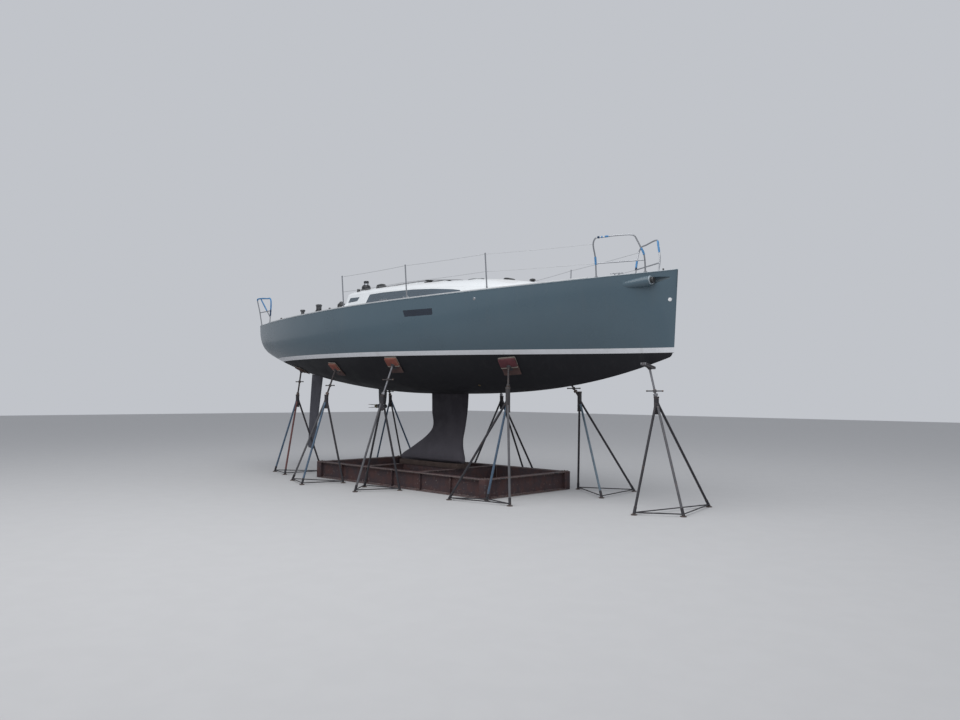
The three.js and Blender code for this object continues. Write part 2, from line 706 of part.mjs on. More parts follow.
// Pulpit and pushpit halves.
[['port', 1, 9910, 10440], ['starboard', -1, 9785, 10390]].forEach(([label, side, aft, corner]) => {
  const bowHalf = (x, out) => side * (halfBeam(x) - out);
  const toFore = (share) => mix(corner, 10534, share);
  const feet = [[aft, bowHalf(aft, 50)], [10520, bowHalf(10520, 52)]];
  const low = feet.map(([x, y]) => footAt(x, y, 30) + 2);
  const top = tube([
    [feet[0][0], feet[0][1], low[0]],
    [aft + 5, bowHalf(aft + 5, 16), 4080],
    [aft + 14, bowHalf(aft + 14, -56), 4315],
    [aft + 65, bowHalf(aft + 65, -80), 4390],
    [aft + 180, bowHalf(aft + 180, -80), 4403],
    [corner - 45, bowHalf(corner - 45, -36), 4418],
    [corner + 8, bowHalf(corner + 8, -28), 4400],
    [toFore(0.38), bowHalf(toFore(0.38), -20), 4309],
    [toFore(0.66), bowHalf(toFore(0.66), -14), 4210],
    [toFore(0.92), bowHalf(toFore(0.92), -8), 4120],
    [10534, bowHalf(10534, 6), 4020],
    [feet[1][0], feet[1][1], low[1]],
  ], 13, 28, 6);
  const middle = rod([aft + 5, bowHalf(aft + 5, 32), 3990], [10530, bowHalf(10530, 32), 4005], 11, 6);
  const shoes = feet.map(([x, y], i) => rod([x, y, low[i] - 2], [x, y, low[i] + 12], 30, 8));
  put(`pulpit_${label}`, join([top, middle, ...shoes]), paint.steel);

  const sternFeet = [[66, side * (halfBeam(66) - 27)], [775, side * (halfBeam(775) - 50)]];
  const sternLow = sternFeet.map(([x, y]) => footAt(x, y, 30) + 2);
  const sternTop = tube([
    [sternFeet[0][0], sternFeet[0][1], sternLow[0]],
    [54, sternFeet[0][1] + side * 55, 3840],
    [40, sternFeet[0][1] + side * 108, 4080],
    [52, sternFeet[0][1] + side * 122, 4142],
    [150, side * (halfBeam(150) + 80), 4152],
    [690, side * (halfBeam(690) + 4), 4104],
    [850, side * (halfBeam(850) - 22), 4086],
    [894, side * (halfBeam(894) - 30), 4020],
    [sternFeet[1][0], sternFeet[1][1], sternLow[1]],
  ], 13, 22, 6);
  const sternMiddle = rod([56, sternFeet[0][1] + side * 50, 3820], [842, side * (halfBeam(842) - 38), 3800], 11, 6);
  const sternBrace = rod([260, side * (halfBeam(260) + 64), 4142], [792, sternFeet[1][1] + side * 6, 3650], 11, 6);
  const sternShoes = sternFeet.map(([x, y], i) => rod([x, y, sternLow[i] - 2], [x, y, sternLow[i] + 12], 26, 10));
  put(`pushpit_${label}`, join([sternTop, sternMiddle, sternBrace, ...sternShoes]), paint.steel);
});

// Foil outline at one height: leading x, trailing x, half thickness.
function foilRing(lead, trail, half, z, count = 7) {
  const upper = [];
  for (let i = 0; i <= count; i += 1) {
    const c = (1 - Math.cos((i / count) * Math.PI)) / 2;
    const shape = 0.2969 * Math.sqrt(c) - 0.126 * c - 0.3516 * c ** 2 + 0.2843 * c ** 3 - 0.1036 * c ** 4;
    upper.push([mix(lead, trail, c), (shape / 0.1) * half, z]);
  }
  const lower = upper.slice(1, -1).reverse().map((p) => [p[0], -p[1], p[2]]);
  return upper.concat(lower);
}

// Keel: height, leading and trailing x, half thickness; the foot spreads into a ballast bulb swept aft.
const keelRows = [
  { z: keelFoot, lead: 6150, trail: 4270, half: 90 },
  { z: 480, lead: 6185, trail: 4225, half: 145 },
  { z: 560, lead: 6180, trail: 4290, half: 172 },
  { z: 660, lead: 6155, trail: 4490, half: 158 },
  { z: 800, lead: 6140, trail: 4760, half: 112 },
  { z: 940, lead: 6150, trail: 5010, half: 80 },
  { z: 1090, lead: 6190, trail: 5200, half: 64 },
  { z: 1500, lead: 6270, trail: 5215, half: 62 },
  { z: 1950, lead: 6300, trail: 5205, half: 66 },
];
const keelLoft = loft(keelRows.map((row) => foilRing(row.lead, row.trail, row.half, row.z, 8)));
put('keel', keelLoft.subtract(hullGrown), paint.keel);

// Rudder in the frame of its stock: height below the blade's top, leading and trailing edge, half thickness.
const rudderRows = [
  { down: 0, lead: 112, trail: -365, half: 30 },
  { down: 500, lead: 100, trail: -335, half: 27 },
  { down: 1100, lead: 82, trail: -290, half: 22 },
  { down: 1700, lead: 50, trail: -225, half: 15 },
  { down: 1815, lead: 20, trail: -205, half: 9 },
];
const rudderBlade = loft(rudderRows.map((row) => foilRing(row.lead, row.trail, row.half, -row.down, 6)));
const rudder = put('rudder', rudderBlade.add(rod([0, 0, -40], [0, 0, 640], 25, 12)), paint.keel);
rudder.position.set(rudderTop.x, 0, rudderTop.z);
rudder.rotation.y = rudderRake;

// Saildrive leg with its torpedo.
const drive = { x: 3545, z: 1560 };
const driveLeg = loft([
  foilRing(3690, 3400, 44, 2150, 7),
  foilRing(3670, 3420, 40, 1700, 7),
  foilRing(3640, 3440, 36, drive.z, 7),
]);
put('saildrive', join([
  driveLeg,
  rod([3700, 0, drive.z], [3640, 0, drive.z], 18, 12, 50),
  rod([3640.5, 0, drive.z], [3440, 0, drive.z], 50, 12),
  rod([3440.5, 0, drive.z], [3400, 0, drive.z], 50, 12, 42),
  rod([3560, 0, drive.z - 110], [3570, 0, drive.z], 14, 6),
]).subtract(hullGrown), paint.grey);

// Folding propeller: hub and two blades folded aft.
const hubPlace = { aft: 3310, fore: 3394 };
put('propeller_hub', cut(join([
  rod([hubPlace.fore, 0, drive.z], [hubPlace.aft + 20, 0, drive.z], 42, 14),
  rod([hubPlace.aft + 20.5, 0, drive.z], [hubPlace.aft - 14, 0, drive.z], 42, 14, 24),
]), [
  block(3260, 3352, -28, 28, drive.z + 8, drive.z + 80),
  block(3260, 3352, -28, 28, drive.z - 80, drive.z - 8),
]).add(join([
  rod([3330, -34, drive.z + 26], [3330, 34, drive.z + 26], 6, 8),
  rod([3330, -34, drive.z - 26], [3330, 34, drive.z - 26], 6, 8),
])), paint.bronze);
[['upper', 1], ['lower', -1]].forEach(([label, side]) => {
  const pin = [3330, 0, drive.z + side * 26];
  const root = rod([3330, -20, pin[2]], [3330, 20, pin[2]], 14, 10);
  const stem = block(3200, 3330, -12, 12, pin[2] - 7, pin[2] + 7);
  const blade = loft([3230, 3200, 3150, 3100, 3060, 3040].map((x, i) => {
    const half = [14, 34, 44, 40, 24, 8][i];
    const lift = side * [0, 2, 5, 8, 10, 11][i];
    const ring = [];
    for (let n = 0; n < 8; n += 1) {
      const angle = (n / 8) * Math.PI * 2;
      ring.push([x, Math.cos(angle) * half, pin[2] + lift + Math.sin(angle) * 5]);
    }
    return ring;
  }));
  put(`propeller_blade_${label}`, cut(join([root, stem, blade]), [rod([3330, -60, pin[2]], [3330, 60, pin[2]], 7, 12)]),
    paint.bronze);
});

// Engine under the companionway.
put('engine_block', block(3760, 4460, -250, 250, soleLevel + contactGap, 2790), paint.engine);

// Cradle: four outer beams, cross beams and a keel bed, all of open section.
const beamCut = (x0, x1, y0, y1) => block(x0, x1, y0, y1, 28, cradle.height - 28);
const c = cradle;
const inside = c.half - c.beam;
put('cradle_frame', cut(join([
  block(c.aft, c.fore, inside, c.half, 0, c.height),
  block(c.aft, c.fore, -c.half, -inside, 0, c.height),
  block(c.aft, c.aft + c.beam, -c.half, c.half, 0, c.height),
  block(c.fore - c.beam, c.fore, -c.half, c.half, 0, c.height),
  block(4300, 4300 + c.beam, -c.half, c.half, 0, c.height),
  block(5950, 5950 + c.beam, -c.half, c.half, 0, c.height),
  block(4300, 5950 + c.beam, -130, 130, 120, c.height),
]), [
  beamCut(c.aft + c.beam, c.fore - c.beam, c.half - 60, c.half + 20),
  beamCut(c.aft + c.beam, c.fore - c.beam, -c.half - 20, -c.half + 60),
  beamCut(c.aft - 20, c.aft + 60, -inside, inside),
  beamCut(c.fore - 60, c.fore + 20, -inside, inside),
]), paint.rust);
put('keel_bed', block(4350, 6160, -150, 150, c.height + contactGap, keelFoot - contactGap), paint.timber);

// Screw stands: place of the pad on the skin, pad sizes along the hull and up its girth, hub and feet on the ground.
const standRows = [
  { name: 'forward', side: -1, x: 8060, s: 0.25, long: 340, high: 330, hub: [8380, -1110],
    feet: [[7500, -1640], [8050, -1270], [8720, -1420]], look: paint.blue },
  { name: 'forward', side: 1, x: 8060, s: 0.25, long: 340, high: 330, hub: [8300, 1000],
    feet: [[8040, 1300], [9140, 540], [8990, 1800]], look: paint.blue },
  { name: 'middle', side: -1, x: 5700, s: 0.32, long: 300, high: 380, hub: [5650, -1660],
    feet: [[5500, -2160], [5880, -1400], [4980, -1550]], look: paint.grey },
  { name: 'middle', side: 1, x: 5700, s: 0.32, long: 300, high: 380, hub: [5700, 1612],
    feet: [[4950, 1380], [5850, 2250], [6450, 1950]], look: paint.grey },
  { name: 'after', side: -1, x: 3820, s: 0.27, long: 270, high: 380, hub: [3720, -1612],
    feet: [[3850, -2250], [4130, -1450], [3020, -1950]], look: paint.grey },
  { name: 'after', side: 1, x: 3820, s: 0.27, long: 270, high: 380, hub: [3720, 1612],
    feet: [[3850, 2150], [4230, 1450], [3120, 1850]], look: paint.grey },
  { name: 'quarter', side: -1, x: 1800, s: 0.13, long: 300, high: 300, hub: [1620, -980],
    feet: [[1870, -1430], [1090, -1220], [1970, -500]], look: paint.blue },
  { name: 'quarter', side: 1, x: 2300, s: 0.15, long: 300, high: 300, hub: [2150, 1350],
    feet: [[1770, 1200], [2700, 1800], [2010, 1900]], look: paint.blue },
];

function standBody(top, axis, hub, feet) {
  const pieces = [];
  feet.forEach(([x, y], n) => {
    const [nextX, nextY] = feet[(n + 1) % feet.length];
    pieces.push(rod([hub[0], hub[1], standHub - 40], [x, y, 20], 22, 6));
    pieces.push(rod([x, y, 0], [x, y, 22], 50, 6));
    pieces.push(rod([x, y, 40], [nextX, nextY, 40], 12, 4));
  });
  const screwFoot = [hub[0], hub[1], standHub];
  const screwTop = top.map((value, k) => value - axis[k] * 30);
  pieces.push(rod([hub[0], hub[1], standHub - 260], [hub[0], hub[1], standHub + 30], 46, 6));
  pieces.push(rod(screwFoot, screwTop, 20, 6));
  pieces.push(rod(top.map((value, k) => value - axis[k] * 34), top, 52, 6));
  const grip = screwFoot.map((value, k) => mix(value, screwTop[k], 0.25));
  pieces.push(rod([grip[0] - 150, grip[1], grip[2]], [grip[0] + 150, grip[1], grip[2]], 12, 4));
  return join(pieces);
}

// Axes of the skin at a place: along the hull, up the girth, and out of it.
function skinAxes(x, s, side) {
  const p = vector(skinAt(x, s, 0));
  const along = vector(skinAt(x + 20, s, 0)).sub(p);
  const up = vector(skinAt(x, s + 0.01, 0)).sub(p);
  along.y *= side;
  up.y *= side;
  const out = along.clone().cross(up).normalize();
  if (out.y * side < 0) out.negate();
  along.normalize();
  return new THREE.Matrix4().makeBasis(along, out.clone().cross(along), out);
}

standRows.forEach((row) => {
  const label = row.side > 0 ? 'port' : 'starboard';
  const p = skinAt(row.x, row.s, 0);
  const contact = [p[0], row.side * p[1], p[2]];
  const axes = skinAxes(row.x, row.s, row.side);
  const out = new THREE.Vector3().setFromMatrixColumn(axes, 2).toArray();
  const padPlate = new THREE.BoxGeometry(row.long, row.high, 40);
  padPlate.translate(0, 0, 22.5);
  padPlate.applyMatrix4(axes);
  padPlate.translate(...contact);
  put(`stand_pad_${row.name}_${label}`, solidOf(padPlate), paint.pad);
  const top = contact.map((value, k) => value + out[k] * 43);
  put(`stand_${row.name}_${label}`, standBody(top, out.map((value) => -value), row.hub, row.feet), row.look);
});

// Bow stand: its board lies under the forefoot and rises to starboard.
const bowStand = {
  pad: 10530, half: 50, inboard: 30, outboard: 280, thick: 40, roll: 0.2, hub: [10600, 0],
  feet: [[10660, -740], [11270, -340], [11010, 930]],
};
const bowContact = bottomAt(bowStand.pad - bowStand.half) - 6;
const bowBoard = new THREE.BoxGeometry(2 * bowStand.half, bowStand.inboard + bowStand.outboard, bowStand.thick);
bowBoard.translate(0, (bowStand.inboard - bowStand.outboard) / 2, -bowStand.thick / 2);
bowBoard.rotateX(-bowStand.roll);
bowBoard.translate(bowStand.pad, 0, bowContact);
put('stand_bow', standBody([bowStand.pad, -80, bowContact - 20], [0, 0, 1], bowStand.hub, bowStand.feet)
  .add(solidOf(bowBoard)), paint.grey);

export default yacht;
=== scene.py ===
import math

import bmesh
import bpy
import numpy as np
from mathutils import Matrix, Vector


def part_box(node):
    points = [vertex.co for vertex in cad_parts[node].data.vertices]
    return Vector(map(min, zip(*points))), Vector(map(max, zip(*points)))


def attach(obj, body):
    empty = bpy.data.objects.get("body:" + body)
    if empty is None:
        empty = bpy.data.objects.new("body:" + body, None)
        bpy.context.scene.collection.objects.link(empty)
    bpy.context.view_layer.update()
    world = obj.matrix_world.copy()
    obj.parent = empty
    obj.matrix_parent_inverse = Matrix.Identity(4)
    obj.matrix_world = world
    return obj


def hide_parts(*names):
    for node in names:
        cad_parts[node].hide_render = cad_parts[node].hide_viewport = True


# Sailing yacht laid up ashore. In the shapes below x runs from the stern to the bow, y to port and z up
# from the ground, in metres. sternX moves them into the shared frame.
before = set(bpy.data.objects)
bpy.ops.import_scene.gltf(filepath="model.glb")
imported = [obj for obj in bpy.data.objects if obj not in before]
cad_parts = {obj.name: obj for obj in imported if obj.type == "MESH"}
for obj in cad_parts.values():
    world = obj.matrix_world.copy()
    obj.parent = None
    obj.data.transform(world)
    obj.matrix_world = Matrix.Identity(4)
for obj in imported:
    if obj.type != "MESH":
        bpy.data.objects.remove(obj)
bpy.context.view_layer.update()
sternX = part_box("hull")[0].x
hands = (("port", 1), ("starboard", -1))
print("frame loaded")

hullForm = dict(
    length=10.99, floatLevel=2.546, floatSlope=-0.00859, middle=5.5,
    beamHalf=1.802, beamStation=4.59, transomHalf=1.06, bowFullness=1.689, stemHalf=0.02,
    sternRise=0.897, middleRise=0.975, bowRise=1.313, sheerMiddle=0.4,
    bodyDepth=0.701, bodyStation=5.203, transomLift=0.062,
    forefootFullness=3.0, forefootRise=0.651, forefootRadius=0.06, stemRake=0.078, transomRake=0.043,
    stripeLow=0.009, stripeHigh=0.09, deckEdge=0.018, deckCamber=0.07, shellWall=0.06, soleLevel=2.216,
)


# Curves and tables

def ease(low, high, x):
    # 3t² − 2t³ between low and high
    t = np.clip((np.asarray(x, float) - low) / (high - low), 0, 1)
    return t * t * (3 - 2 * t)


def table(names, *rows):
    # one dictionary for each row
    return [dict(zip(names.split(), row)) for row in rows]


def through(xs, ys, x):
    # cubic Hermite curve through the rows, its slope at a row taken from the rows beside it
    xs = np.asarray(xs, float)
    ys = np.asarray(ys, float).reshape(len(xs), -1)
    slope = np.gradient(ys, xs, axis=0)
    x = np.atleast_1d(np.asarray(x, float))
    i = np.clip(np.searchsorted(xs, x) - 1, 0, len(xs) - 2)
    step = (xs[i + 1] - xs[i])[:, None]
    t = np.clip((x - xs[i])[:, None] / step, 0, 1)
    value = (2 * t**3 - 3 * t**2 + 1) * ys[i] + (t**3 - 2 * t**2 + t) * step * slope[i]
    value = value + (3 * t**2 - 2 * t**3) * ys[i + 1] + (t**3 - t**2) * step * slope[i + 1]
    return value


def smoothPath(points, count):
    # the same curve through points in space, by the distance along them
    points = np.asarray(points, float)
    run = np.concatenate([[0], np.cumsum(np.linalg.norm(np.diff(points, axis=0), axis=1) ** 0.5)])
    return through(run, points, np.linspace(0, run[-1], count))


# Parts: (points, faces) of one closed shell each

def circle(count):
    # evenly spaced angles
    return np.linspace(0, 2 * np.pi, count, endpoint=False)


def gridPart(points, wrap=True, first=True, last=True):
    # ring i holds the points points[i, j]; four neighbours make a face; first and last close the end rings
    rows, cols = points.shape[:2]
    index = np.arange(rows * cols).reshape(rows, cols)
    here = index if wrap else index[:, :-1]
    beside = np.roll(index, -1, 1) if wrap else index[:, 1:]
    quads = np.stack([here[:-1], beside[:-1], beside[1:], here[1:]], -1).reshape(-1, 4).tolist()
    quads += [index[0, ::-1].tolist()] * first + [index[-1].tolist()] * last
    return points.reshape(-1, 3), quads


def sweep(points, radius, sides=12, section=None, up=None):
    # p + r·(u·n1 + v·n2): a section (u, v) carried along the path p, n1 and n2 square to it
    p = np.asarray(points, float)
    along = np.gradient(p, axis=0)
    along /= np.linalg.norm(along, axis=1)[:, None]
    side = np.linalg.svd(p - p.mean(0))[2][2] if up is None else np.asarray(up, float)
    n1 = side - along * (along @ side)[:, None]
    n1 /= np.linalg.norm(n1, axis=1)[:, None]
    n2 = np.cross(along, n1)
    turn = circle(sides)
    ring = np.stack([np.cos(turn), np.sin(turn)], 1) if section is None else np.asarray(section, float)
    size = np.broadcast_to(np.asarray(radius, float), len(p))[:, None, None]
    return gridPart(p[:, None] + size * (ring[:, :1] * n1[:, None] + ring[:, 1:] * n2[:, None]))


def rod(a, b, radius, endRadius=None, sides=16):
    # a tube between two points, its end edges broken by a small chamfer
    a, b = np.asarray(a, float), np.asarray(b, float)
    length = np.linalg.norm(b - a)
    chamfer = min(0.0015, 0.3 * radius, 0.1 * length)
    along = np.array([0, chamfer, 3 * chamfer, length - 3 * chamfer, length - chamfer, length])
    share = along / length
    width = radius + (0 if endRadius is None else endRadius - radius) * share
    width[[0, -1]] -= chamfer
    return sweep(a + share[:, None] * (b - a), width, sides)


def guarded(rows, keep=0.003):
    # puts a row at the distance keep from both ends of each stretch longer than 4·keep
    gap = rows[1:] - rows[:-1]
    length = np.linalg.norm(gap, axis=1)
    share = np.where(length > 4 * keep, keep / np.maximum(length, keep), 0)[:, None]
    full = np.stack([rows[:-1], rows[:-1] + gap * share, rows[1:] - gap * share], 1)
    wanted = np.stack([np.ones(len(gap)), share[:, 0], share[:, 0]], 1) > 0
    return np.concatenate([full[wanted], rows[-1:]])


def turned(rows, centre, axis=(0, 0, 1), sides=36):
    # c + h·axis + r·(cos a·e1 + sin a·e2) for the rows (r, h)
    rows = guarded(np.asarray(rows, float))
    axis = np.asarray(axis, float) / np.linalg.norm(axis)
    e1, e2 = np.linalg.svd(axis[None])[2][1:]
    turn = circle(sides)[None, :, None]
    points = np.asarray(centre) + rows[:, 1, None, None] * axis
    return gridPart(points + rows[:, 0, None, None] * (np.cos(turn) * e1 + np.sin(turn) * e2))


def knob(rows, centre, axis=(0, 0, 1), sides=36):
    # turned, with its first and last row closed at the axis
    return turned([(0, rows[0][1])] + rows + [(0, rows[-1][1])], centre, axis, sides)


def roundedRect(x0, x1, y0, y1, radius, steps=5):
    # four quarter circles, one at each corner
    turn = np.linspace(0, np.pi / 2, steps)
    corners = [(x1, y1, 0), (x0, y1, 1), (x0, y0, 2), (x1, y0, 3)]
    rows = []
    for x, y, quarter in corners:
        a = turn + quarter * np.pi / 2
        cx = x - math.copysign(radius, x - (x0 + x1) / 2)
        cy = y - math.copysign(radius, y - (y0 + y1) / 2)
        rows.append(np.stack([cx + radius * np.cos(a), cy + radius * np.sin(a)], 1))
    return np.concatenate(rows)


def inset(outline, by):
    # each corner moves along its mitre: (m1 + m2) / (1 + m1·m2), m the inward normals of its two edges
    outline = np.asarray(outline, float)
    edge = np.roll(outline, -1, 0) - outline
    edge /= np.linalg.norm(edge, axis=1)[:, None]
    area = np.sum(outline[:, 0] * np.roll(outline[:, 1], -1) - np.roll(outline[:, 0], -1) * outline[:, 1])
    inward = np.stack([-edge[:, 1], edge[:, 0]], 1) * np.sign(area)
    before = np.roll(inward, 1, 0)
    share = 1 / (1 + np.sum(inward * before, 1))
    return outline + (inward + before) * (share * by)[:, None]


def slab(outline, low, high, edge=0.003, steps=3):
    # the outline drawn in by e(1 − sin a) at height low + e(1 − cos a), and the reverse at the top
    a = np.linspace(0, np.pi / 2, steps)
    draw = edge * (1 - np.sin(a))
    rise = edge * (1 - np.cos(a))
    levels = [*zip(draw, low + rise), *zip(draw[::-1], high - rise[::-1])]
    return gridPart(np.array([np.c_[inset(outline, d), np.full(len(outline), z)] for d, z in levels]))


def block(x0, x1, y0, y1, z0, z1, corner=0.006, edge=0.003):
    return slab(roundedRect(x0, x1, y0, y1, corner), z0, z1, edge)


def plate(along, across, corner, low, high, edge):
    return slab(roundedRect(-along, along, -across, across, corner), low, high, edge)


def placed(part, origin, u, v):
    # (a, b, c) goes to origin + a·u + b·v + c·(u × v)
    u = np.asarray(u, float) / np.linalg.norm(u)
    v = np.asarray(v, float) - u * (np.asarray(v, float) @ u)
    v /= np.linalg.norm(v)
    return np.asarray(origin) + part[0] @ np.array([u, v, np.cross(u, v)]), part[1]


def moved(part, by):
    return part[0] + np.asarray(by, float), part[1]


def mirrored(part):
    return part[0] * np.array([1, -1, 1]), part[1]


def sideCut(outline, y0, y1):
    # prism of an outline in x and z, from y0 to y1
    outline = np.asarray(outline, float)
    rings = np.array([np.c_[outline[:, 0], np.full(len(outline), y), outline[:, 1]] for y in (y0, y1)])
    return gridPart(rings)


def rounded(outline, radius, steps=3):
    # each corner becomes p + r·((1 − t)²·d1 + t²·d2), d1 and d2 pointing along its two edges
    p = np.asarray(outline, float)
    before = np.roll(p, 1, 0) - p
    after = np.roll(p, -1, 0) - p
    short = np.minimum(np.linalg.norm(before, axis=1), np.linalg.norm(after, axis=1))
    reach = np.minimum(radius, 0.45 * short)[:, None, None]
    before /= np.linalg.norm(before, axis=1)[:, None]
    after /= np.linalg.norm(after, axis=1)[:, None]
    t = np.linspace(0, 1, steps)[None, :, None]
    return (p[:, None] + reach * ((1 - t) ** 2 * before[:, None] + t**2 * after[:, None])).reshape(-1, 2)


def sideSlab(outline, y0, y1, edge=0.0015):
    # the outline in x and z, rounded over at both faces
    points, faces = slab(outline, y0, y1, edge)
    return points[:, [0, 2, 1]], faces


def boxPart(x0, x1, y0, y1, z0, z1):
    return sideCut([(x0, z0), (x1, z0), (x1, z1), (x0, z1)], y0, y1)


# Pieces

def meshOf(name, parts):
    # parts is a list of (part, material index)
    points = []
    faces = []
    marks = []
    total = 0
    for (vertices, polygons), mark in parts:
        points.append(vertices)
        faces += [[total + n for n in face] for face in polygons]
        marks += [mark] * len(polygons)
        total += len(vertices)
    mesh = bpy.data.meshes.new(name)
    shifted = np.concatenate(points) + np.array([sternX, 0, 0])
    mesh.from_pydata(shifted.tolist(), [], faces)
    mesh.polygons.foreach_set("material_index", np.array(marks, np.int32))
    return mesh


def ofFaces(mesh, key):
    values = np.zeros(len(mesh.polygons) * 3)
    mesh.polygons.foreach_get(key, values)
    return values.reshape(-1, 3)


def added(name, data):
    thing = bpy.data.objects.new(name, data)
    bpy.context.scene.collection.objects.link(thing)
    return thing


def tidied(mesh, angle):
    # merges what meets at seams and poles, turns faces outwards and marks the sharp edges
    work = bmesh.new()
    work.from_mesh(mesh)
    bmesh.ops.remove_doubles(work, verts=work.verts, dist=1e-6)
    bmesh.ops.dissolve_degenerate(work, edges=work.edges, dist=1e-6)
    bmesh.ops.recalc_face_normals(work, faces=work.faces)
    work.to_mesh(mesh)
    work.free()
    mesh.polygons.foreach_set("use_smooth", np.ones(len(mesh.polygons), bool))
    mesh.set_sharp_from_angle(angle=math.radians(angle))
    mesh.update()
    markEdges(mesh)
    return mesh


def markEdges(mesh):
    # edge = 14·(1 − |mean of the normals of the faces round a point|) − 0.35, kept within 0 and 1
    corner = np.zeros(len(mesh.loops), np.int32)
    mesh.loops.foreach_get("vertex_index", corner)
    sides = np.zeros(len(mesh.polygons), np.int32)
    mesh.polygons.foreach_get("loop_total", sides)
    perCorner = np.repeat(ofFaces(mesh, "normal"), sides, 0)
    total = np.stack([np.bincount(corner, perCorner[:, n], len(mesh.vertices)) for n in range(3)], 1)
    count = np.maximum(np.bincount(corner, minlength=len(mesh.vertices)), 1)
    bend = 1 - np.linalg.norm(total, axis=1) / count
    layer = mesh.attributes.get("edge") or mesh.attributes.new("edge", "FLOAT", "POINT")
    layer.data.foreach_set("value", np.clip(14 * bend - 0.35, 0, 1).astype(np.float32))


def setPiece(thing, body, coats, replaces=()):
    # coats names the finishes in the order of the face marks
    marks = np.zeros(len(thing.data.polygons), np.int32)
    thing.data.polygons.foreach_get("material_index", marks)
    thing.data.materials.clear()
    for coat in coats.split():
        thing.data.materials.append(paint[coat])
    thing.data.polygons.foreach_set("material_index", marks)
    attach(thing, body)
    if replaces:
        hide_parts(*replaces)


def piece(name, parts, body, coats, replaces=(), angle=35):
    parts = [part if isinstance(part[1], int) else (part, 0) for part in parts]
    setPiece(added(name, tidied(meshOf(name, parts), angle)), body, coats, replaces)


def marked(*groups):
    # the parts of group n get the finish n
    return [(part, n) for n, group in enumerate(groups) for part in group]


def solid(part):
    return added("solid", tidied(meshOf("solid", [(part, 0)]), 35))


def combine(base, steps, angle=35):
    # steps is a list of (UNION, DIFFERENCE or INTERSECT, solid); the solids are used up
    for how, other in steps:
        step = base.modifiers.new("combine", "BOOLEAN")
        step.operation = how
        step.solver = "MANIFOLD"
        step.object = other
    bpy.context.view_layer.update()
    result = bpy.data.meshes.new_from_object(base.evaluated_get(bpy.context.evaluated_depsgraph_get()))
    base.modifiers.clear()
    base.data = tidied(result, angle)
    for how, other in steps:
        if other.name in bpy.data.objects:
            bpy.data.objects.remove(other)
    return base


# Hull lines, the same as the solid's

def floatAt(x):
    h = hullForm
    return h["floatLevel"] + (np.asarray(x, float) - h["middle"]) * h["floatSlope"]


def halfBeam(x):
    # 1 − u^p ahead of the widest station, a parabola behind it
    h = hullForm
    x = np.asarray(x, float)
    widest = h["beamHalf"] + h["stemHalf"]
    u = np.clip((x - h["beamStation"]) / (h["length"] - h["beamStation"]), 0, 1)
    w = (h["beamStation"] - x) / h["beamStation"]
    ahead = h["beamHalf"] * (1 - u ** h["bowFullness"]) + h["stemHalf"]
    return np.where(x > h["beamStation"], ahead, widest - (widest - h["transomHalf"]) * w**2)


def sheerAt(x):
    # parabola through the rise at the stern, the middle and the bow
    h = hullForm
    t = np.asarray(x, float) / h["length"]
    m = h["sheerMiddle"]
    rise = h["sternRise"] * (t - m) * (t - 1) / m + h["middleRise"] * t * (t - 1) / (m * (m - 1))
    return floatAt(x) + rise + h["bowRise"] * t * (t - m) / (1 - m)


def bottomAt(x):
    # keel line, deepest at the body station: it rises by w^1.9 behind it, and ahead of it by u^p
    # with a quarter round at the foot of the stem
    h = hullForm
    x = np.asarray(x, float)
    foot = h["length"] - 0.015
    w = np.clip((h["bodyStation"] - x) / h["bodyStation"], 0, None)
    aft = (h["transomLift"] + h["bodyDepth"]) * w**1.9
    u = np.clip((x - h["bodyStation"]) / (foot - h["bodyStation"]), 0, 1)
    d = np.clip((x - foot + h["forefootRadius"]) / h["forefootRadius"], 0, 1)
    turn = (1 - np.sqrt(1 - d * d)) * h["forefootRadius"] * 0.9
    fore = h["forefootRise"] * u ** h["forefootFullness"] + turn
    return floatAt(x) - h["bodyDepth"] + np.where(x < h["bodyStation"], aft, fore)


def sectionShape(x):
    # the powers a and b of skinAt, eased from the middle body to the bow and the stern
    fore = ease(5.0, 10.6, x)
    aft = ease(5.0, 0.0, x)
    return 3.059 - 1.452 * fore + 0.059 * aft, 2.012 - 0.905 * fore + 0.451 * aft


def rakeAt(x, s):
    # shift along x of the raked transom and stem, full at the keel line and gone at the sheer
    h = hullForm
    return (1 - s) * ((1 - ease(0, 2.5, x)) * h["transomRake"] - ease(8.0, h["length"], x) * h["stemRake"])


def skinAt(x, s, depth=0.0):
    # y = beam·(1 − (1 − s)^a)^(1/b), z from the keel line at s = 0 to the sheer at s = 1
    a, b = sectionShape(x)
    low = bottomAt(x) + depth
    y = np.maximum(0.006, halfBeam(x) - depth) * (1 - (1 - s) ** a) ** (1 / b)
    return np.stack(np.broadcast_arrays(x + rakeAt(x, s), y, low + (sheerAt(x) - low) * s), -1)


def deckAt(x, y):
    # sheer + edge + camber·(1 − (y/half)²), the camber in proportion to the beam
    half = halfBeam(x)
    h = hullForm
    return sheerAt(x) + h["deckEdge"] + h["deckCamber"] * (half / h["beamHalf"]) * (1 - (y / half) ** 2)


def footAt(x, y, radius):
    # a little over the highest of the deck under a round foot
    inner = max(0.0, abs(y) - radius)
    return max(float(deckAt(x - radius, inner)), float(deckAt(x + radius, inner))) + 0.003


# Finishes

def socketGroup(name, inputs, outputs):
    group = bpy.data.node_groups.new(name, "ShaderNodeTree")
    for label, value in inputs:
        socket = group.interface.new_socket(label, in_out="INPUT", socket_type="NodeSocketFloat")
        socket.default_value = value
    for label in outputs:
        group.interface.new_socket(label, in_out="OUTPUT", socket_type="NodeSocketFloat")
    return group, group.nodes.new("NodeGroupInput"), group.nodes.new("NodeGroupOutput")


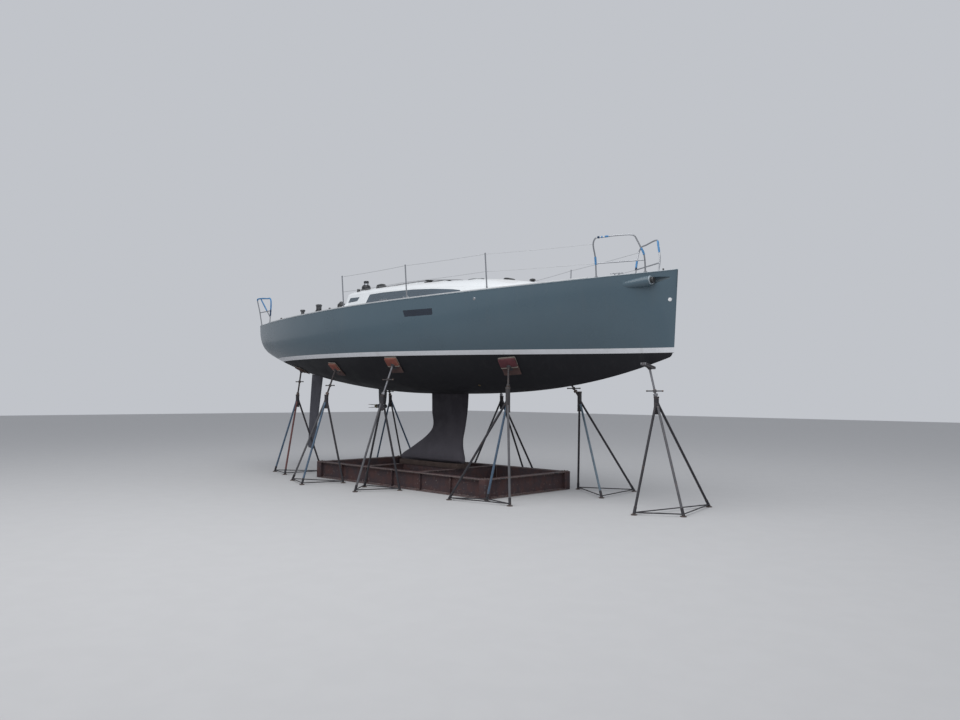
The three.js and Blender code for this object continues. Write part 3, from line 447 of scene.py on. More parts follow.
def feed(tree, value, socket):
    # the value is a number, a colour or the output of another node
    if isinstance(value, bpy.types.NodeSocket):
        tree.links.new(value, socket)
    else:
        socket.default_value = (*value, 1) if isinstance(value, tuple) else value


def mathNode(tree, operation, a, b):
    node = tree.nodes.new("ShaderNodeMath")
    node.operation = operation
    feed(tree, a, node.inputs[0])
    feed(tree, b, node.inputs[1])
    return node.outputs[0]


def noiseNode(tree, scale, detail, stretch=(1, 1, 1)):
    place = tree.nodes.new("ShaderNodeTexCoord")
    turn = tree.nodes.new("ShaderNodeMapping")
    turn.inputs["Scale"].default_value = stretch
    noise = tree.nodes.new("ShaderNodeTexNoise")
    noise.inputs["Detail"].default_value = detail
    noise.inputs["Roughness"].default_value = 0.55
    tree.links.new(place.outputs["Object"], turn.inputs["Vector"])
    tree.links.new(turn.outputs[0], noise.inputs["Vector"])
    feed(tree, scale, noise.inputs["Scale"])
    return noise.outputs["Fac"]


def spread(tree, value, low, high):
    # 0 at low, 1 at high
    node = tree.nodes.new("ShaderNodeMapRange")
    node.interpolation_type = "SMOOTHSTEP"
    for label, number in (("From Min", low), ("From Max", high), ("Value", value)):
        feed(tree, number, node.inputs[label])
    return node.outputs[0]


def weatherGroup():
    # Blotch is broad patches, Streak runs down the surface, Speck is small spots and Grain a fine height
    inputs = [("Blotch Scale", 3.0), ("Grain Scale", 200.0)]
    group, source, sink = socketGroup("weather", inputs, ["Blotch", "Streak", "Speck", "Grain"])
    blotch = noiseNode(group, source.outputs[0], 4.0)
    streak = noiseNode(group, 1.0, 3.0, (9.0, 9.0, 0.7))
    speck = noiseNode(group, 34.0, 2.0)
    grain = noiseNode(group, source.outputs[1], 2.0)
    group.links.new(spread(group, blotch, 0.36, 0.66), sink.inputs[0])
    group.links.new(spread(group, streak, 0.5, 0.78), sink.inputs[1])
    group.links.new(spread(group, speck, 0.6, 0.72), sink.inputs[2])
    group.links.new(grain, sink.inputs[3])
    return group


def wearGroup():
    # edges by the mesh's own edge attribute, broken up by noise
    group, source, sink = socketGroup("edge wear", [("Amount", 0.5)], ["Mask"])
    edge = group.nodes.new("ShaderNodeAttribute")
    edge.attribute_name = "edge"
    broken = noiseNode(group, 26.0, 4.0)
    reach = mathNode(group, "ADD", mathNode(group, "MULTIPLY", edge.outputs["Fac"], 0.9), broken)
    start = mathNode(group, "SUBTRACT", 1.25, source.outputs[0])
    group.links.new(spread(group, reach, start, mathNode(group, "ADD", start, 0.12)), sink.inputs[0])
    return group


weather = weatherGroup()
wear = wearGroup()


def colourMix(tree, factor, a, b):
    node = tree.nodes.new("ShaderNodeMix")
    node.data_type = "RGBA"
    sockets = [s for s in node.inputs if s.type == "RGBA"]
    feed(tree, a, sockets[0])
    feed(tree, b, sockets[1])
    feed(tree, factor, node.inputs["Factor"])
    return [s for s in node.outputs if s.type == "RGBA"][0]


def finish(name, colour, second=None, blotch=0.5, rough=0.4, roughSpread=0.1, streak=0.0,
           streakColour=(0.2, 0.2, 0.2), speck=0.0, speckColour=(0.1, 0.1, 0.1), worn=0.0,
           wornColour=(0.6, 0.6, 0.6), grain=0.0, grainScale=200.0, blotchScale=3.0, fade=None, **sockets):
    # base colour broken by patches, streaks, spots and worn edges; roughness follows the patches;
    # a fade is (low, high, colour), a painted highlight: its colour is full under the low height and gone
    # over the high one
    material = bpy.data.materials.new(name)
    material.use_nodes = True
    tree = material.node_tree
    shader = tree.nodes["Principled BSDF"]
    masks = tree.nodes.new("ShaderNodeGroup")
    masks.node_tree = weather
    masks.inputs[0].default_value = blotchScale
    masks.inputs[1].default_value = grainScale
    second = second or tuple(0.82 * c for c in colour)
    top = colourMix(tree, mathNode(tree, "MULTIPLY", masks.outputs["Blotch"], blotch), colour, second)
    if fade:
        place = tree.nodes.new("ShaderNodeTexCoord")
        axes = tree.nodes.new("ShaderNodeSeparateXYZ")
        share = tree.nodes.new("ShaderNodeMapRange")
        for label, value in zip(("From Min", "From Max", "To Min", "To Max"), (*fade[:2], 0.9, 0.0)):
            share.inputs[label].default_value = value
        tree.links.new(place.outputs["Object"], axes.inputs[0])
        tree.links.new(axes.outputs["Z"], share.inputs["Value"])
        top = colourMix(tree, share.outputs[0], top, fade[2])
    if streak:
        top = colourMix(tree, mathNode(tree, "MULTIPLY", masks.outputs["Streak"], streak), top, streakColour)
    if speck:
        top = colourMix(tree, mathNode(tree, "MULTIPLY", masks.outputs["Speck"], speck), top, speckColour)
    if worn:
        edges = tree.nodes.new("ShaderNodeGroup")
        edges.node_tree = wear
        edges.inputs[0].default_value = worn
        top = colourMix(tree, edges.outputs[0], top, wornColour)
    tree.links.new(top, shader.inputs["Base Color"])
    roughness = mathNode(tree, "ADD", mathNode(tree, "MULTIPLY", masks.outputs["Blotch"], roughSpread), rough)
    tree.links.new(roughness, shader.inputs["Roughness"])
    if grain:
        bump = tree.nodes.new("ShaderNodeBump")
        bump.inputs["Strength"].default_value = 1.0
        bump.inputs["Distance"].default_value = grain
        tree.links.new(masks.outputs["Grain"], bump.inputs["Height"])
        tree.links.new(bump.outputs[0], shader.inputs["Normal"])
    for label, value in sockets.items():
        shader.inputs[label.replace("_", " ")].default_value = value
    return material


def coat(colour, second=None, shared=(), **values):
    return dict(shared, colour=colour, second=second, **values)


standWear = dict(roughSpread=0.2, worn=0.3, grain=0.0008, grainScale=90.0, blotchScale=9.0)
padWear = dict(streak=0.3, grain=0.0015, grainScale=70.0, blotchScale=9.0)
finishes = dict(
    topside=coat((0.077, 0.117, 0.145), (0.069, 0.104, 0.13), rough=0.22, roughSpread=0.08, streak=0.15,
                 streakColour=(0.1, 0.125, 0.14), grain=0.0002, grainScale=18.0, blotchScale=0.9,
                 Coat_Weight=0.22, Coat_Roughness=0.05, Specular_IOR_Level=0.28),
    # the tunnel finish is the topside paint darkened: painted shade in the bowsprit's recess and bore
    tunnel=coat((0.046, 0.07, 0.087), (0.034, 0.054, 0.068), rough=0.5),
    collarGrey=coat((0.34, 0.4, 0.44), (0.26, 0.31, 0.35), rough=0.35, blotchScale=20.0),
    stripe=coat((0.66, 0.67, 0.7), (0.56, 0.57, 0.59), rough=0.25, streak=0.2,
                streakColour=(0.35, 0.34, 0.32)),
    bottom=coat((0.0095, 0.01, 0.013), (0.0155, 0.015, 0.018), rough=0.62, roughSpread=0.2, streak=0.25,
                streakColour=(0.028, 0.028, 0.031), speck=0.3, speckColour=(0.024, 0.023, 0.024),
                grain=0.0012, grainScale=90.0, blotchScale=1.6, Specular_IOR_Level=0.25),
    inside=coat((0.55, 0.55, 0.53), rough=0.6),
    # the keel is painted lighter under 1.3 m: a painted highlight for the sky's light on the bulb's upper
    # faces
    keelPaint=coat((0.034, 0.03, 0.038), (0.02, 0.018, 0.023), rough=0.66, roughSpread=0.15, streak=0.3,
                   streakColour=(0.06, 0.056, 0.062), speck=0.4, speckColour=(0.06, 0.055, 0.06), worn=0.25,
                   wornColour=(0.09, 0.08, 0.08), grain=0.0015, grainScale=70.0, blotchScale=3.4,
                   Specular_IOR_Level=0.3, fade=(0.66, 1.3, (0.08, 0.074, 0.088))),
    rudderPaint=coat((0.092, 0.092, 0.11), (0.062, 0.061, 0.072), rough=0.62, roughSpread=0.15, streak=0.3,
                     streakColour=(0.085, 0.083, 0.095), speck=0.4, speckColour=(0.035, 0.034, 0.04),
                     grain=0.0012, grainScale=70.0, Specular_IOR_Level=0.3),
    gelcoat=coat((0.68, 0.7, 0.715), (0.615, 0.635, 0.65), rough=0.24, roughSpread=0.16, streak=0.12,
                 streakColour=(0.52, 0.51, 0.48), blotchScale=2.2, grain=0.0002, grainScale=30.0),
    nonSkid=coat((0.6, 0.61, 0.62), (0.52, 0.53, 0.53), rough=0.62, speck=0.3, speckColour=(0.42, 0.42, 0.41),
                 grain=0.002, grainScale=420.0),
    steel=coat((0.36, 0.37, 0.39), (0.27, 0.28, 0.3), rough=0.26, roughSpread=0.14, Metallic=1.0, speck=0.15,
               speckColour=(0.22, 0.17, 0.14)),
    bronze=coat((0.22, 0.16, 0.08), (0.1, 0.11, 0.075), rough=0.4, roughSpread=0.25, Metallic=1.0, speck=0.4,
                speckColour=(0.16, 0.22, 0.17)),
    black=coat((0.02, 0.021, 0.023), (0.034, 0.035, 0.037), rough=0.42, roughSpread=0.2, worn=0.35,
               wornColour=(0.1, 0.1, 0.1), grain=0.0003, grainScale=300.0),
    rubber=coat((0.03, 0.03, 0.031), (0.05, 0.05, 0.05), rough=0.8, grain=0.0006, grainScale=220.0),
    rust=coat((0.052, 0.037, 0.042), (0.088, 0.046, 0.043), rough=0.78, roughSpread=0.15, blotch=0.8,
              streak=0.5, streakColour=(0.026, 0.02, 0.022), speck=0.6, speckColour=(0.12, 0.055, 0.035),
              worn=0.62, wornColour=(0.2, 0.165, 0.155), grain=0.003, grainScale=60.0, blotchScale=5.0,
              Specular_IOR_Level=0.3),
    timber=coat((0.075, 0.052, 0.045), (0.045, 0.033, 0.03), rough=0.85, streak=0.4, grain=0.002,
                streakColour=(0.032, 0.026, 0.024), grainScale=55.0, blotchScale=7.0,
                Specular_IOR_Level=0.3),
    padOrange=coat((0.23, 0.06, 0.04), (0.14, 0.045, 0.036), padWear, rough=0.8,
                   streakColour=(0.1, 0.045, 0.038), speck=0.5, speckColour=(0.17, 0.12, 0.09), worn=0.4,
                   wornColour=(0.24, 0.18, 0.13)),
    padRed=coat((0.1, 0.022, 0.03), (0.06, 0.02, 0.025), padWear, rough=0.78,
                streakColour=(0.05, 0.022, 0.026), speck=0.3, speckColour=(0.1, 0.05, 0.045), worn=0.25,
                wornColour=(0.15, 0.09, 0.08)),
    padBrown=coat((0.078, 0.04, 0.036), (0.045, 0.029, 0.029), rough=0.85, speck=0.5,
                  speckColour=(0.11, 0.065, 0.05), worn=0.4, wornColour=(0.15, 0.11, 0.09), grain=0.002,
                  grainScale=60.0, blotchScale=8.0),
    padPale=coat((0.25, 0.22, 0.19), (0.14, 0.12, 0.11), rough=0.9, speck=0.5,
                 speckColour=(0.09, 0.07, 0.065), grain=0.002, grainScale=80.0, blotchScale=14.0),
    standBlue=coat((0.07, 0.118, 0.18), (0.05, 0.08, 0.118), standWear, rough=0.5, speck=0.6,
                   speckColour=(0.12, 0.065, 0.045), wornColour=(0.14, 0.09, 0.07)),
    standGrey=coat((0.102, 0.102, 0.111), (0.066, 0.066, 0.073), standWear, rough=0.5, speck=0.6,
                   speckColour=(0.13, 0.075, 0.05), wornColour=(0.16, 0.1, 0.075)),
    standDark=coat((0.021, 0.021, 0.027), (0.032, 0.028, 0.032), standWear, rough=0.55, speck=0.6,
                   speckColour=(0.1, 0.055, 0.04), wornColour=(0.12, 0.085, 0.07)),
    standRed=coat((0.15, 0.06, 0.058), (0.095, 0.044, 0.044), standWear, rough=0.7, speck=0.7,
                  speckColour=(0.17, 0.085, 0.055), wornColour=(0.18, 0.13, 0.1), grain=0.001),
    standMid=coat((0.048, 0.045, 0.048), (0.034, 0.031, 0.034), standWear, rough=0.55, speck=0.5,
                  speckColour=(0.1, 0.065, 0.05), wornColour=(0.14, 0.1, 0.08)),
    standPale=coat((0.135, 0.19, 0.235), (0.085, 0.12, 0.155), standWear, rough=0.5, speck=0.5,
                   speckColour=(0.12, 0.08, 0.06), wornColour=(0.14, 0.1, 0.08)),
    boardGrey=coat((0.05, 0.044, 0.047), (0.034, 0.03, 0.033), rough=0.8, worn=0.7,
                   wornColour=(0.2, 0.2, 0.21), grain=0.0015, grainScale=70.0, blotchScale=9.0),
    galvanised=coat((0.27, 0.27, 0.29), (0.18, 0.18, 0.2), rough=0.42, roughSpread=0.2, Metallic=0.85,
                    speck=0.4, speckColour=(0.24, 0.14, 0.09), grain=0.0004, grainScale=120.0,
                    blotchScale=14.0),
    driveGrey=coat((0.034, 0.036, 0.042), (0.024, 0.025, 0.029), rough=0.55, speck=0.4,
                   speckColour=(0.1, 0.1, 0.1), grain=0.001, grainScale=80.0, blotchScale=8.0),
    carbon=coat((0.022, 0.022, 0.024), (0.036, 0.036, 0.038), rough=0.22, Coat_Weight=0.7,
                Coat_Roughness=0.08, grain=0.0002, grainScale=420.0, blotchScale=60.0),
    tape=coat((0.065, 0.23, 0.46), (0.04, 0.16, 0.34), rough=0.45, roughSpread=0.2, grain=0.0012,
              grainScale=160.0, blotchScale=24.0),
    tapeDark=coat((0.018, 0.05, 0.11), (0.012, 0.03, 0.07), rough=0.5, roughSpread=0.2, grain=0.0012,
                  grainScale=160.0, blotchScale=24.0),
    toeRail=coat((0.5, 0.51, 0.52), (0.4, 0.41, 0.42), rough=0.38, Metallic=0.3, blotchScale=4.0),
    rope=coat((0.14, 0.14, 0.15), (0.3, 0.3, 0.31), rough=0.85, blotchScale=90.0, grain=0.0015,
              grainScale=500.0),
    acrylic=coat((0.03, 0.036, 0.04), (0.04, 0.046, 0.05), rough=0.06, roughSpread=0.08, Coat_Weight=0.5,
                 Coat_Roughness=0.03, IOR=1.49),
    alloy=coat((0.34, 0.35, 0.36), (0.27, 0.28, 0.29), rough=0.34, Metallic=0.9, blotchScale=12.0),
    wire=coat((0.42, 0.43, 0.44), (0.33, 0.34, 0.35), rough=0.35, Metallic=0.8, blotchScale=60.0),
    whitePlastic=coat((0.74, 0.75, 0.76), (0.62, 0.63, 0.64), rough=0.32, blotchScale=14.0, speck=0.2,
                      speckColour=(0.5, 0.5, 0.48)),
    winchBlack=coat((0.026, 0.027, 0.03), (0.045, 0.046, 0.05), rough=0.3, roughSpread=0.15, Metallic=0.5,
                    worn=0.3, wornColour=(0.3, 0.3, 0.31), grain=0.0003),
    clutchGrey=coat((0.13, 0.135, 0.14), (0.09, 0.095, 0.1), rough=0.4, worn=0.3,
                    wornColour=(0.28, 0.28, 0.28), grain=0.0003),
    engineRed=coat((0.22, 0.035, 0.03), (0.15, 0.03, 0.028), rough=0.42, roughSpread=0.2, speck=0.4,
                   speckColour=(0.08, 0.05, 0.04), worn=0.3, wornColour=(0.2, 0.18, 0.17)),
    joinery=coat((0.36, 0.21, 0.11), (0.28, 0.155, 0.08), rough=0.35, streak=0.4,
                 streakColour=(0.22, 0.12, 0.06), blotchScale=8.0, Coat_Weight=0.3, Coat_Roughness=0.1),
)
paint = {name: finish(name, **values) for name, values in finishes.items()}


def glassFinish(name, colour, passing):
    # tinted pane: light passes through, darkened by the base colour
    material = finish(name, colour, tuple(0.84 * c for c in colour), rough=0.02, roughSpread=0.03, IOR=1.5)
    shader = material.node_tree.nodes["Principled BSDF"]
    shader.inputs["Transmission Weight"].default_value = passing
    return material


paint["glass"] = glassFinish("tintedGlass", (0.15, 0.2, 0.25), 0.6)
paint["hullGlass"] = glassFinish("hullGlass", (0.03, 0.045, 0.075), 0.55)
print("finishes ready")


# Hull shell

hullShell = dict(aftStations=100, foreStart=9.6, foreStations=52, foreCrowding=1.8, bottomRows=20,
                 stripeRows=2, topRows=18, noseLength=0.028, noseReach=0.012, roomAft=0.06, roomFore=9.9,
                 roomStations=60, roomTop=4.2, windowInner=1.2, windowOuter=1.9, wellAft=-0.05, wellFore=0.1,
                 wellHalf=0.6403, wellLow=2.9497, wellHigh=3.9)
hullWindow = [(6.2, 3.381), (6.242, 3.262), (6.852, 3.268), (6.868, 3.29), (6.858, 3.388)]
bowspritLine = dict(tip=(10.7, -0.215, 3.668), pitch=0.066, length=2.6, radius=0.044, bore=0.05,
                    fairingBack=0.078, fairingAft=(9.95, -0.36, 3.6), fairingDrop=0.008,
                    troughAft=(10.655, -0.177, 3.662), troughFore=(10.9, -0.075, 3.7), troughWide=0.058,
                    troughNarrow=0.018)
rudderPlace = dict(x=1.075, z=2.262, rake=0.152, stockRadius=0.025, holeRadius=0.03)


def hullSections(x, depth=0.0, lift=0.0):
    # rows gather at the keel line, then follow the stripe's two edges up to the sheer
    c = hullShell
    low = bottomAt(x)
    rise = sheerAt(x) - low
    lower, upper = [np.clip((floatAt(x) + hullForm[key] - low) / rise, floor, 1)
                    for key, floor in (("stripeLow", 0.01), ("stripeHigh", 0.02))]
    t0 = np.linspace(0, 1, c["bottomRows"] + 1)[1:, None] ** (2.0 - 0.8 * ease(9.0, 10.9, x))
    t1 = np.linspace(0, 1, c["stripeRows"] + 1)[1:, None]
    t2 = np.linspace(0, 1, c["topRows"] + 1)[1:, None]
    s = np.concatenate([t0 * lower, lower + (upper - lower) * t1, upper + (1 - upper) * t2])
    side = skinAt(x[None, :], s, depth).transpose(1, 0, 2)
    keel = skinAt(x, np.zeros_like(x), depth)[:, None]
    keel[..., 1] = 0
    side[:, -1, 2] += lift
    return np.concatenate([side[:, ::-1], keel, side * np.array([1, -1, 1])], 1)


def hullNose(rings, x):
    # the last few centimetres close to the stem by a quarter ellipse
    c = hullShell
    t = np.clip((x - hullForm["length"] + c["noseLength"]) / c["noseLength"], 0, 1)
    rings[..., 1] *= np.sqrt(1 - t**2)[:, None]
    rings[..., 0] += (c["noseReach"] * t**2)[:, None]
    return rings


def onSprit(back):
    c = bowspritLine
    along = np.array([math.cos(c["pitch"]), 0, math.sin(c["pitch"])])
    return np.array(c["tip"]) - along * back


def onStock(up):
    c = rudderPlace
    return np.array([c["x"] + math.sin(c["rake"]) * up, 0, c["z"] + math.cos(c["rake"]) * up])


def buildHull():
    h, c, b = hullForm, hullShell, bowspritLine
    start = c["foreStart"]
    crowd = 1 - (1 - np.linspace(0, 1, c["foreStations"])[1:]) ** c["foreCrowding"]
    x = np.concatenate([np.linspace(0, start, c["aftStations"]), start + crowd * (h["length"] - start)])
    shell = solid(gridPart(hullNose(hullSections(x), x), last=False))
    xIn = np.linspace(c["roomAft"], c["roomFore"], c["roomStations"])
    room = solid(gridPart(hullSections(xIn, h["shellWall"], 0.06)))
    box = solid(boxPart(c["roomAft"], c["roomFore"], -2, 2, h["soleLevel"], c["roomTop"]))
    room = combine(room, [("INTERSECT", box)])
    window = sideCut(hullWindow, c["windowInner"], c["windowOuter"])
    fairingAft = np.array(b["fairingAft"])
    run = onSprit(b["fairingBack"]) - fairingAft
    reach = np.linalg.norm(run)
    rows = [(0.046, 0), (0.05, 0.01), (0.06, 0.36 * reach), (0.077, 0.6 * reach), (0.086, 0.85 * reach),
            (0.0875, 0.97 * reach), (0.084, reach)]
    fairing = knob(rows, fairingAft - [0, 0, b["fairingDrop"]], run, 48)
    bore = rod(onSprit(2.9), onSprit(-0.5), b["bore"], sides=32)
    trough = rod(b["troughAft"], b["troughFore"], b["troughWide"], b["troughNarrow"], sides=32)
    stock = rod(onStock(-0.02), onStock(0.9), rudderPlace["holeRadius"], sides=24)
    half = c["wellHalf"]
    well = block(c["wellAft"], c["wellFore"], -half, half, c["wellLow"], c["wellHigh"], 0.02, 0.004)
    cuts = [solid(part) for part in (well, bore, trough, stock, window, mirrored(window))]
    hull = combine(shell, [("UNION", solid(fairing)), ("DIFFERENCE", room)]
                   + [("DIFFERENCE", cut) for cut in cuts], 32)
    hull.name = hull.data.name = "hull_shell"
    setHullZones(hull.data)
    setPiece(hull, "yacht", "topside stripe bottom inside tunnel", ["hull"])


def setHullZones(mesh):
    # a face is bottom, stripe or topside by its height over the float line,
    # inside where the skin is 3.5 cm away, and the tunnel round the bowsprit, given a darker topside paint as
    # painted shade in the recess
    centre = ofFaces(mesh, "center")
    x = centre[:, 0] - sternX
    low = bottomAt(x)
    s = np.clip((centre[:, 2] - low) / (sheerAt(x) - low), 0, 1)
    x = np.clip(x - rakeAt(x, s), 0, hullForm["length"])
    a, b = sectionShape(x)
    skin = halfBeam(x) * (1 - (1 - s) ** a) ** (1 / b)
    up = centre[:, 2] - floatAt(x)
    zone = np.where(up < hullForm["stripeLow"], 2, np.where(up < hullForm["stripeHigh"], 1, 0))
    inside = (np.abs(centre[:, 1]) < skin - 0.035) & (x > 0.05) & (x < 9.95) & (centre[:, 2] > low + 0.02)
    zone[inside & (centre[:, 2] > hullForm["soleLevel"] - 0.001)] = 3
    tunnel = (x > 10.2) & (centre[:, 1] < 0) & (np.abs(centre[:, 1]) < skin - 0.01) & (centre[:, 2] > 3.55)
    zone[tunnel & (centre[:, 2] < sheerAt(x) - 0.01)] = 4
    mesh.polygons.foreach_set("material_index", zone.astype(np.int32))


buildHull()
print("hull built")

# Deck moulding

roofRows = table(
    "x foot shoulder side crown",
    (3.6, 1.15, 1.01, 3.94, 4.148), (4.3, 1.19, 1.03, 3.945, 4.15),
    (5.1, 1.2, 1.02, 3.93, 4.142), (5.8, 1.16, 0.97, 3.905, 4.12),
    (6.5, 1.06, 0.86, 3.875, 4.088), (7.2, 0.9, 0.69, 3.84, 4.043),
    (7.8, 0.7, 0.48, 3.8, 3.955), (8.25, 0.48, 0.29, 3.768, 3.868),
    (8.52, 0.26, 0.12, 3.745, 3.78), (8.76, 0.1, 0.02, 3.7, 3.705),
)
coamingRows = table(
    "x top edge outer",
    (0.96, 3.53, 1.09, 1.13), (1.15, 3.566, 1.15, 1.22), (1.5, 3.598, 1.23, 1.31),
    (1.95, 3.61, 1.27, 1.36), (2.8, 3.622, 1.31, 1.4), (3.25, 3.64, 1.29, 1.39),
    (3.52, 3.7, 1.18, 1.3), (3.72, 3.83, 1.06, 1.19),
)
cockpit = dict(sole=2.99, seat=3.4, wellHalf=0.37, helmHalf=0.6, helmFore=1.85, seatHalf=0.94,
               fore=3.6, liner=0.04, corner=0.06)
companion = dict(half=0.29, sill=3.43, fore=4.3, runHalf=0.338, runLow=4.128, runHigh=4.162,
                 hoodAft=4.25, hoodFore=5.1, hoodHalf=0.375, hoodTop=4.182)
hatchRows = table(
    "name body aft fore half top foot",
    ("hatch_lid_saloon", "saloon_hatch", 5.33, 5.87, 0.27, 4.137, 4.03),
    ("hatch_lid_foredeck", "foredeck_hatch", 8.84, 9.39, 0.27, 3.778, 3.69),
)
hatchForm = dict(openingIn=0.055, gap=0.005, rim=(0.012, 0, 0.013, 0.045, 0.004),
                 pane=(0.04, 0.002, 0.0155, 0.03, 0.003),
                 handle=[(0.022, 0), (0.022, 0.003), (0.014, 0.0045)], handleIn=0.065, handleOut=0.15,
                 hingeIn=0.014, hingeOut=0.14, hingeHalf=0.04)
lockerLid = dict(aft=1.95, fore=3.15, inner=0.44, outer=0.89, low=3.405, high=3.427)
anchorLid = dict(aft=9.6, fore=10.0, halfAft=0.4, halfFore=0.25, low=0.005, high=0.017)
longWindow = [(4.366, 3.698), (4.41, 3.892), (4.44, 3.899), (4.868, 3.903), (5.725, 3.888), (6.25, 3.86),
              (6.7, 3.818), (6.884, 3.788), (6.95, 3.748), (6.945, 3.712), (6.9, 3.694), (6.4, 3.67),
              (5.492, 3.652), (4.895, 3.664)]
aftWindow = [(3.685, 3.777), (3.708, 3.872), (3.722, 3.883), (4.064, 3.874), (4.02, 3.787)]
winchRows = table(
    "name x y foot pad top high grip gripLow gripHigh",
    ("winch_primary", 2.82, 1.235, 3.64, 0.08, 0.07, 0.154, 0.058, 0.045, 0.095),
    ("winch_roof", 3.74, 0.64, 4.108, 0.104, 0.056, 0.18, 0.048, 0.092, 0.122),
    ("winch_aft", 2.01, 1.13, 3.622, 0.062, 0.058, 0.124, 0.036, 0.03, 0.062),
)
deckForm = dict(aftStations=90, foreStart=9.6, foreStations=61, roofAft=3.6, roofFore=8.76, insideAft=3.641,
                insideFore=8.2, ceiling=0.045, insideDrop=-0.06)
mastPlace = dict(x=6.49, seat=4.104, top=4.126, along=0.2, across=0.122)


def rowValues(rows, keys, x):
    xs = [row["x"] for row in rows]
    return through(xs, [[row[key] for key in keys] for row in rows], x).T


def roofSections(x, depth=0.0, drop=0.015):
    # straight wall from foot to shoulder, then z = side + (crown − side)·(1 − (y/shoulder)²)^0.65
    foot, shoulder, side, crown = rowValues(roofRows, ("foot", "shoulder", "side", "crown"), x)
    foot, shoulder = foot - depth, np.maximum(shoulder - depth, 0.004)
    side, crown = side - 0.3 * depth, crown - depth
    base = sheerAt(x) + drop
    t = np.linspace(0, 1, 7)[:-1, None]
    wall = np.stack([foot + (shoulder - foot) * t, base + (side - base) * t], -1)
    turn = (np.linspace(0, 1, 22) ** 1.3 * np.pi / 2)[:, None]
    crest = np.stack([shoulder * np.cos(turn), side + (crown - side) * np.sin(turn) ** 1.3], -1)
    half = np.concatenate([wall, crest]).transpose(1, 0, 2)
    half = np.concatenate([np.broadcast_to(x[:, None, None], half[..., :1].shape), half], -1)
    return np.concatenate([half, half[:, -2::-1] * np.array([1, -1, 1])], 1)


def roofTop(x, y):
    # side + (crown − side)·(1 − (y/shoulder)²)^0.65
    shoulder, side, crown = rowValues(roofRows, ("shoulder", "side", "crown"), np.ravel(x))
    shape = np.shape(x)
    u = np.clip(np.abs(y) / shoulder.reshape(shape), 0, 1)
    return side.reshape(shape) + (crown - side).reshape(shape) * (1 - u**2) ** 0.65


def deckSections(x):
    # cambered plate with a rounded gunwale, 4 mm proud of the hull
    half = halfBeam(x) + 0.004
    base = sheerAt(x)
    edge = [(0.0, 0.0003), (0.0, 0.009), (0.003, 0.0145), (0.008, 0.0178)]
    sides = [np.stack([x, half - inward, base + up], -1) for inward, up in edge]
    share = np.linspace(1, -1, 33)[1:-1]
    camber = hullForm["deckCamber"] * (half / hullForm["beamHalf"])[:, None]
    rise = hullForm["deckEdge"] + camber * (1 - share**2)
    y = (half - 0.008)[:, None] * share
    top = np.stack([np.broadcast_to(x[:, None], rise.shape), y, base[:, None] + rise], -1)
    port = np.stack(sides, 1)
    return np.concatenate([port, top, port[:, ::-1] * np.array([1, -1, 1])], 1)


def cornerCut(ring, times=2):
    # Chaikin: each corner gives way to the points at 1/4 and 3/4 of its edges
    for _ in range(times):
        beside = np.roll(ring, -1, 1)
        pair = [0.75 * ring + 0.25 * beside, 0.25 * ring + 0.75 * beside]
        ring = np.stack(pair, 2).reshape(len(ring), -1, 3)
    return ring


def coamingPart(side):
    # seven corners at each station, rounded by cornerCut
    x = np.linspace(coamingRows[0]["x"], coamingRows[-1]["x"], 44)
    top, edge, outer = rowValues(coamingRows, ("top", "edge", "outer"), x)
    base = sheerAt(x) + 0.004
    rows = [(0.955, base - 0.02), (0.962, top - 0.016), (0.984, top), (edge - 0.03, top - 0.008),
            (edge, top - 0.026), (outer + 0.004, base), (outer, base - 0.02)]
    ring = np.stack([np.stack([x, side * np.broadcast_to(y, x.shape), z], -1) for y, z in rows], 1)
    return gridPart(cornerCut(ring))


def deckPatch(x0, x1, half0, half1, low, high):
    # a plate that follows the deck, its half width going evenly from half0 to half1
    x = np.linspace(x0, x1, 12)
    half = np.linspace(half0, half1, 12)[:, None]
    share = np.linspace(1, -1, 17)
    y = half * share
    top = deckAt(x[:, None], y)
    upper = np.stack([np.broadcast_to(x[:, None], y.shape), y, top + high], -1)
    under = np.stack([np.broadcast_to(x[:, None], y.shape), y, top + low], -1)
    return gridPart(np.concatenate([upper, under[:, ::-1]], 1))


def spanBlock(x0, x1, y0, y1, z0, z1, side, corner=0.008, edge=0.004):
    low, high = sorted((side * y0, side * y1))
    return block(x0, x1, low, high, z0, z1, corner, edge)


def windowPrism(outline, side, by=0.0):
    return sideCut(inset(outline, by), *sorted((0.6 * side, 1.4 * side)))


def mastOval(by, count):
    # (along + by)·cos a, (across + by)·sin a
    m = mastPlace
    turn = circle(count)
    return np.stack([m["x"] + (m["along"] + by) * np.cos(turn), (m["across"] + by) * np.sin(turn)], 1)


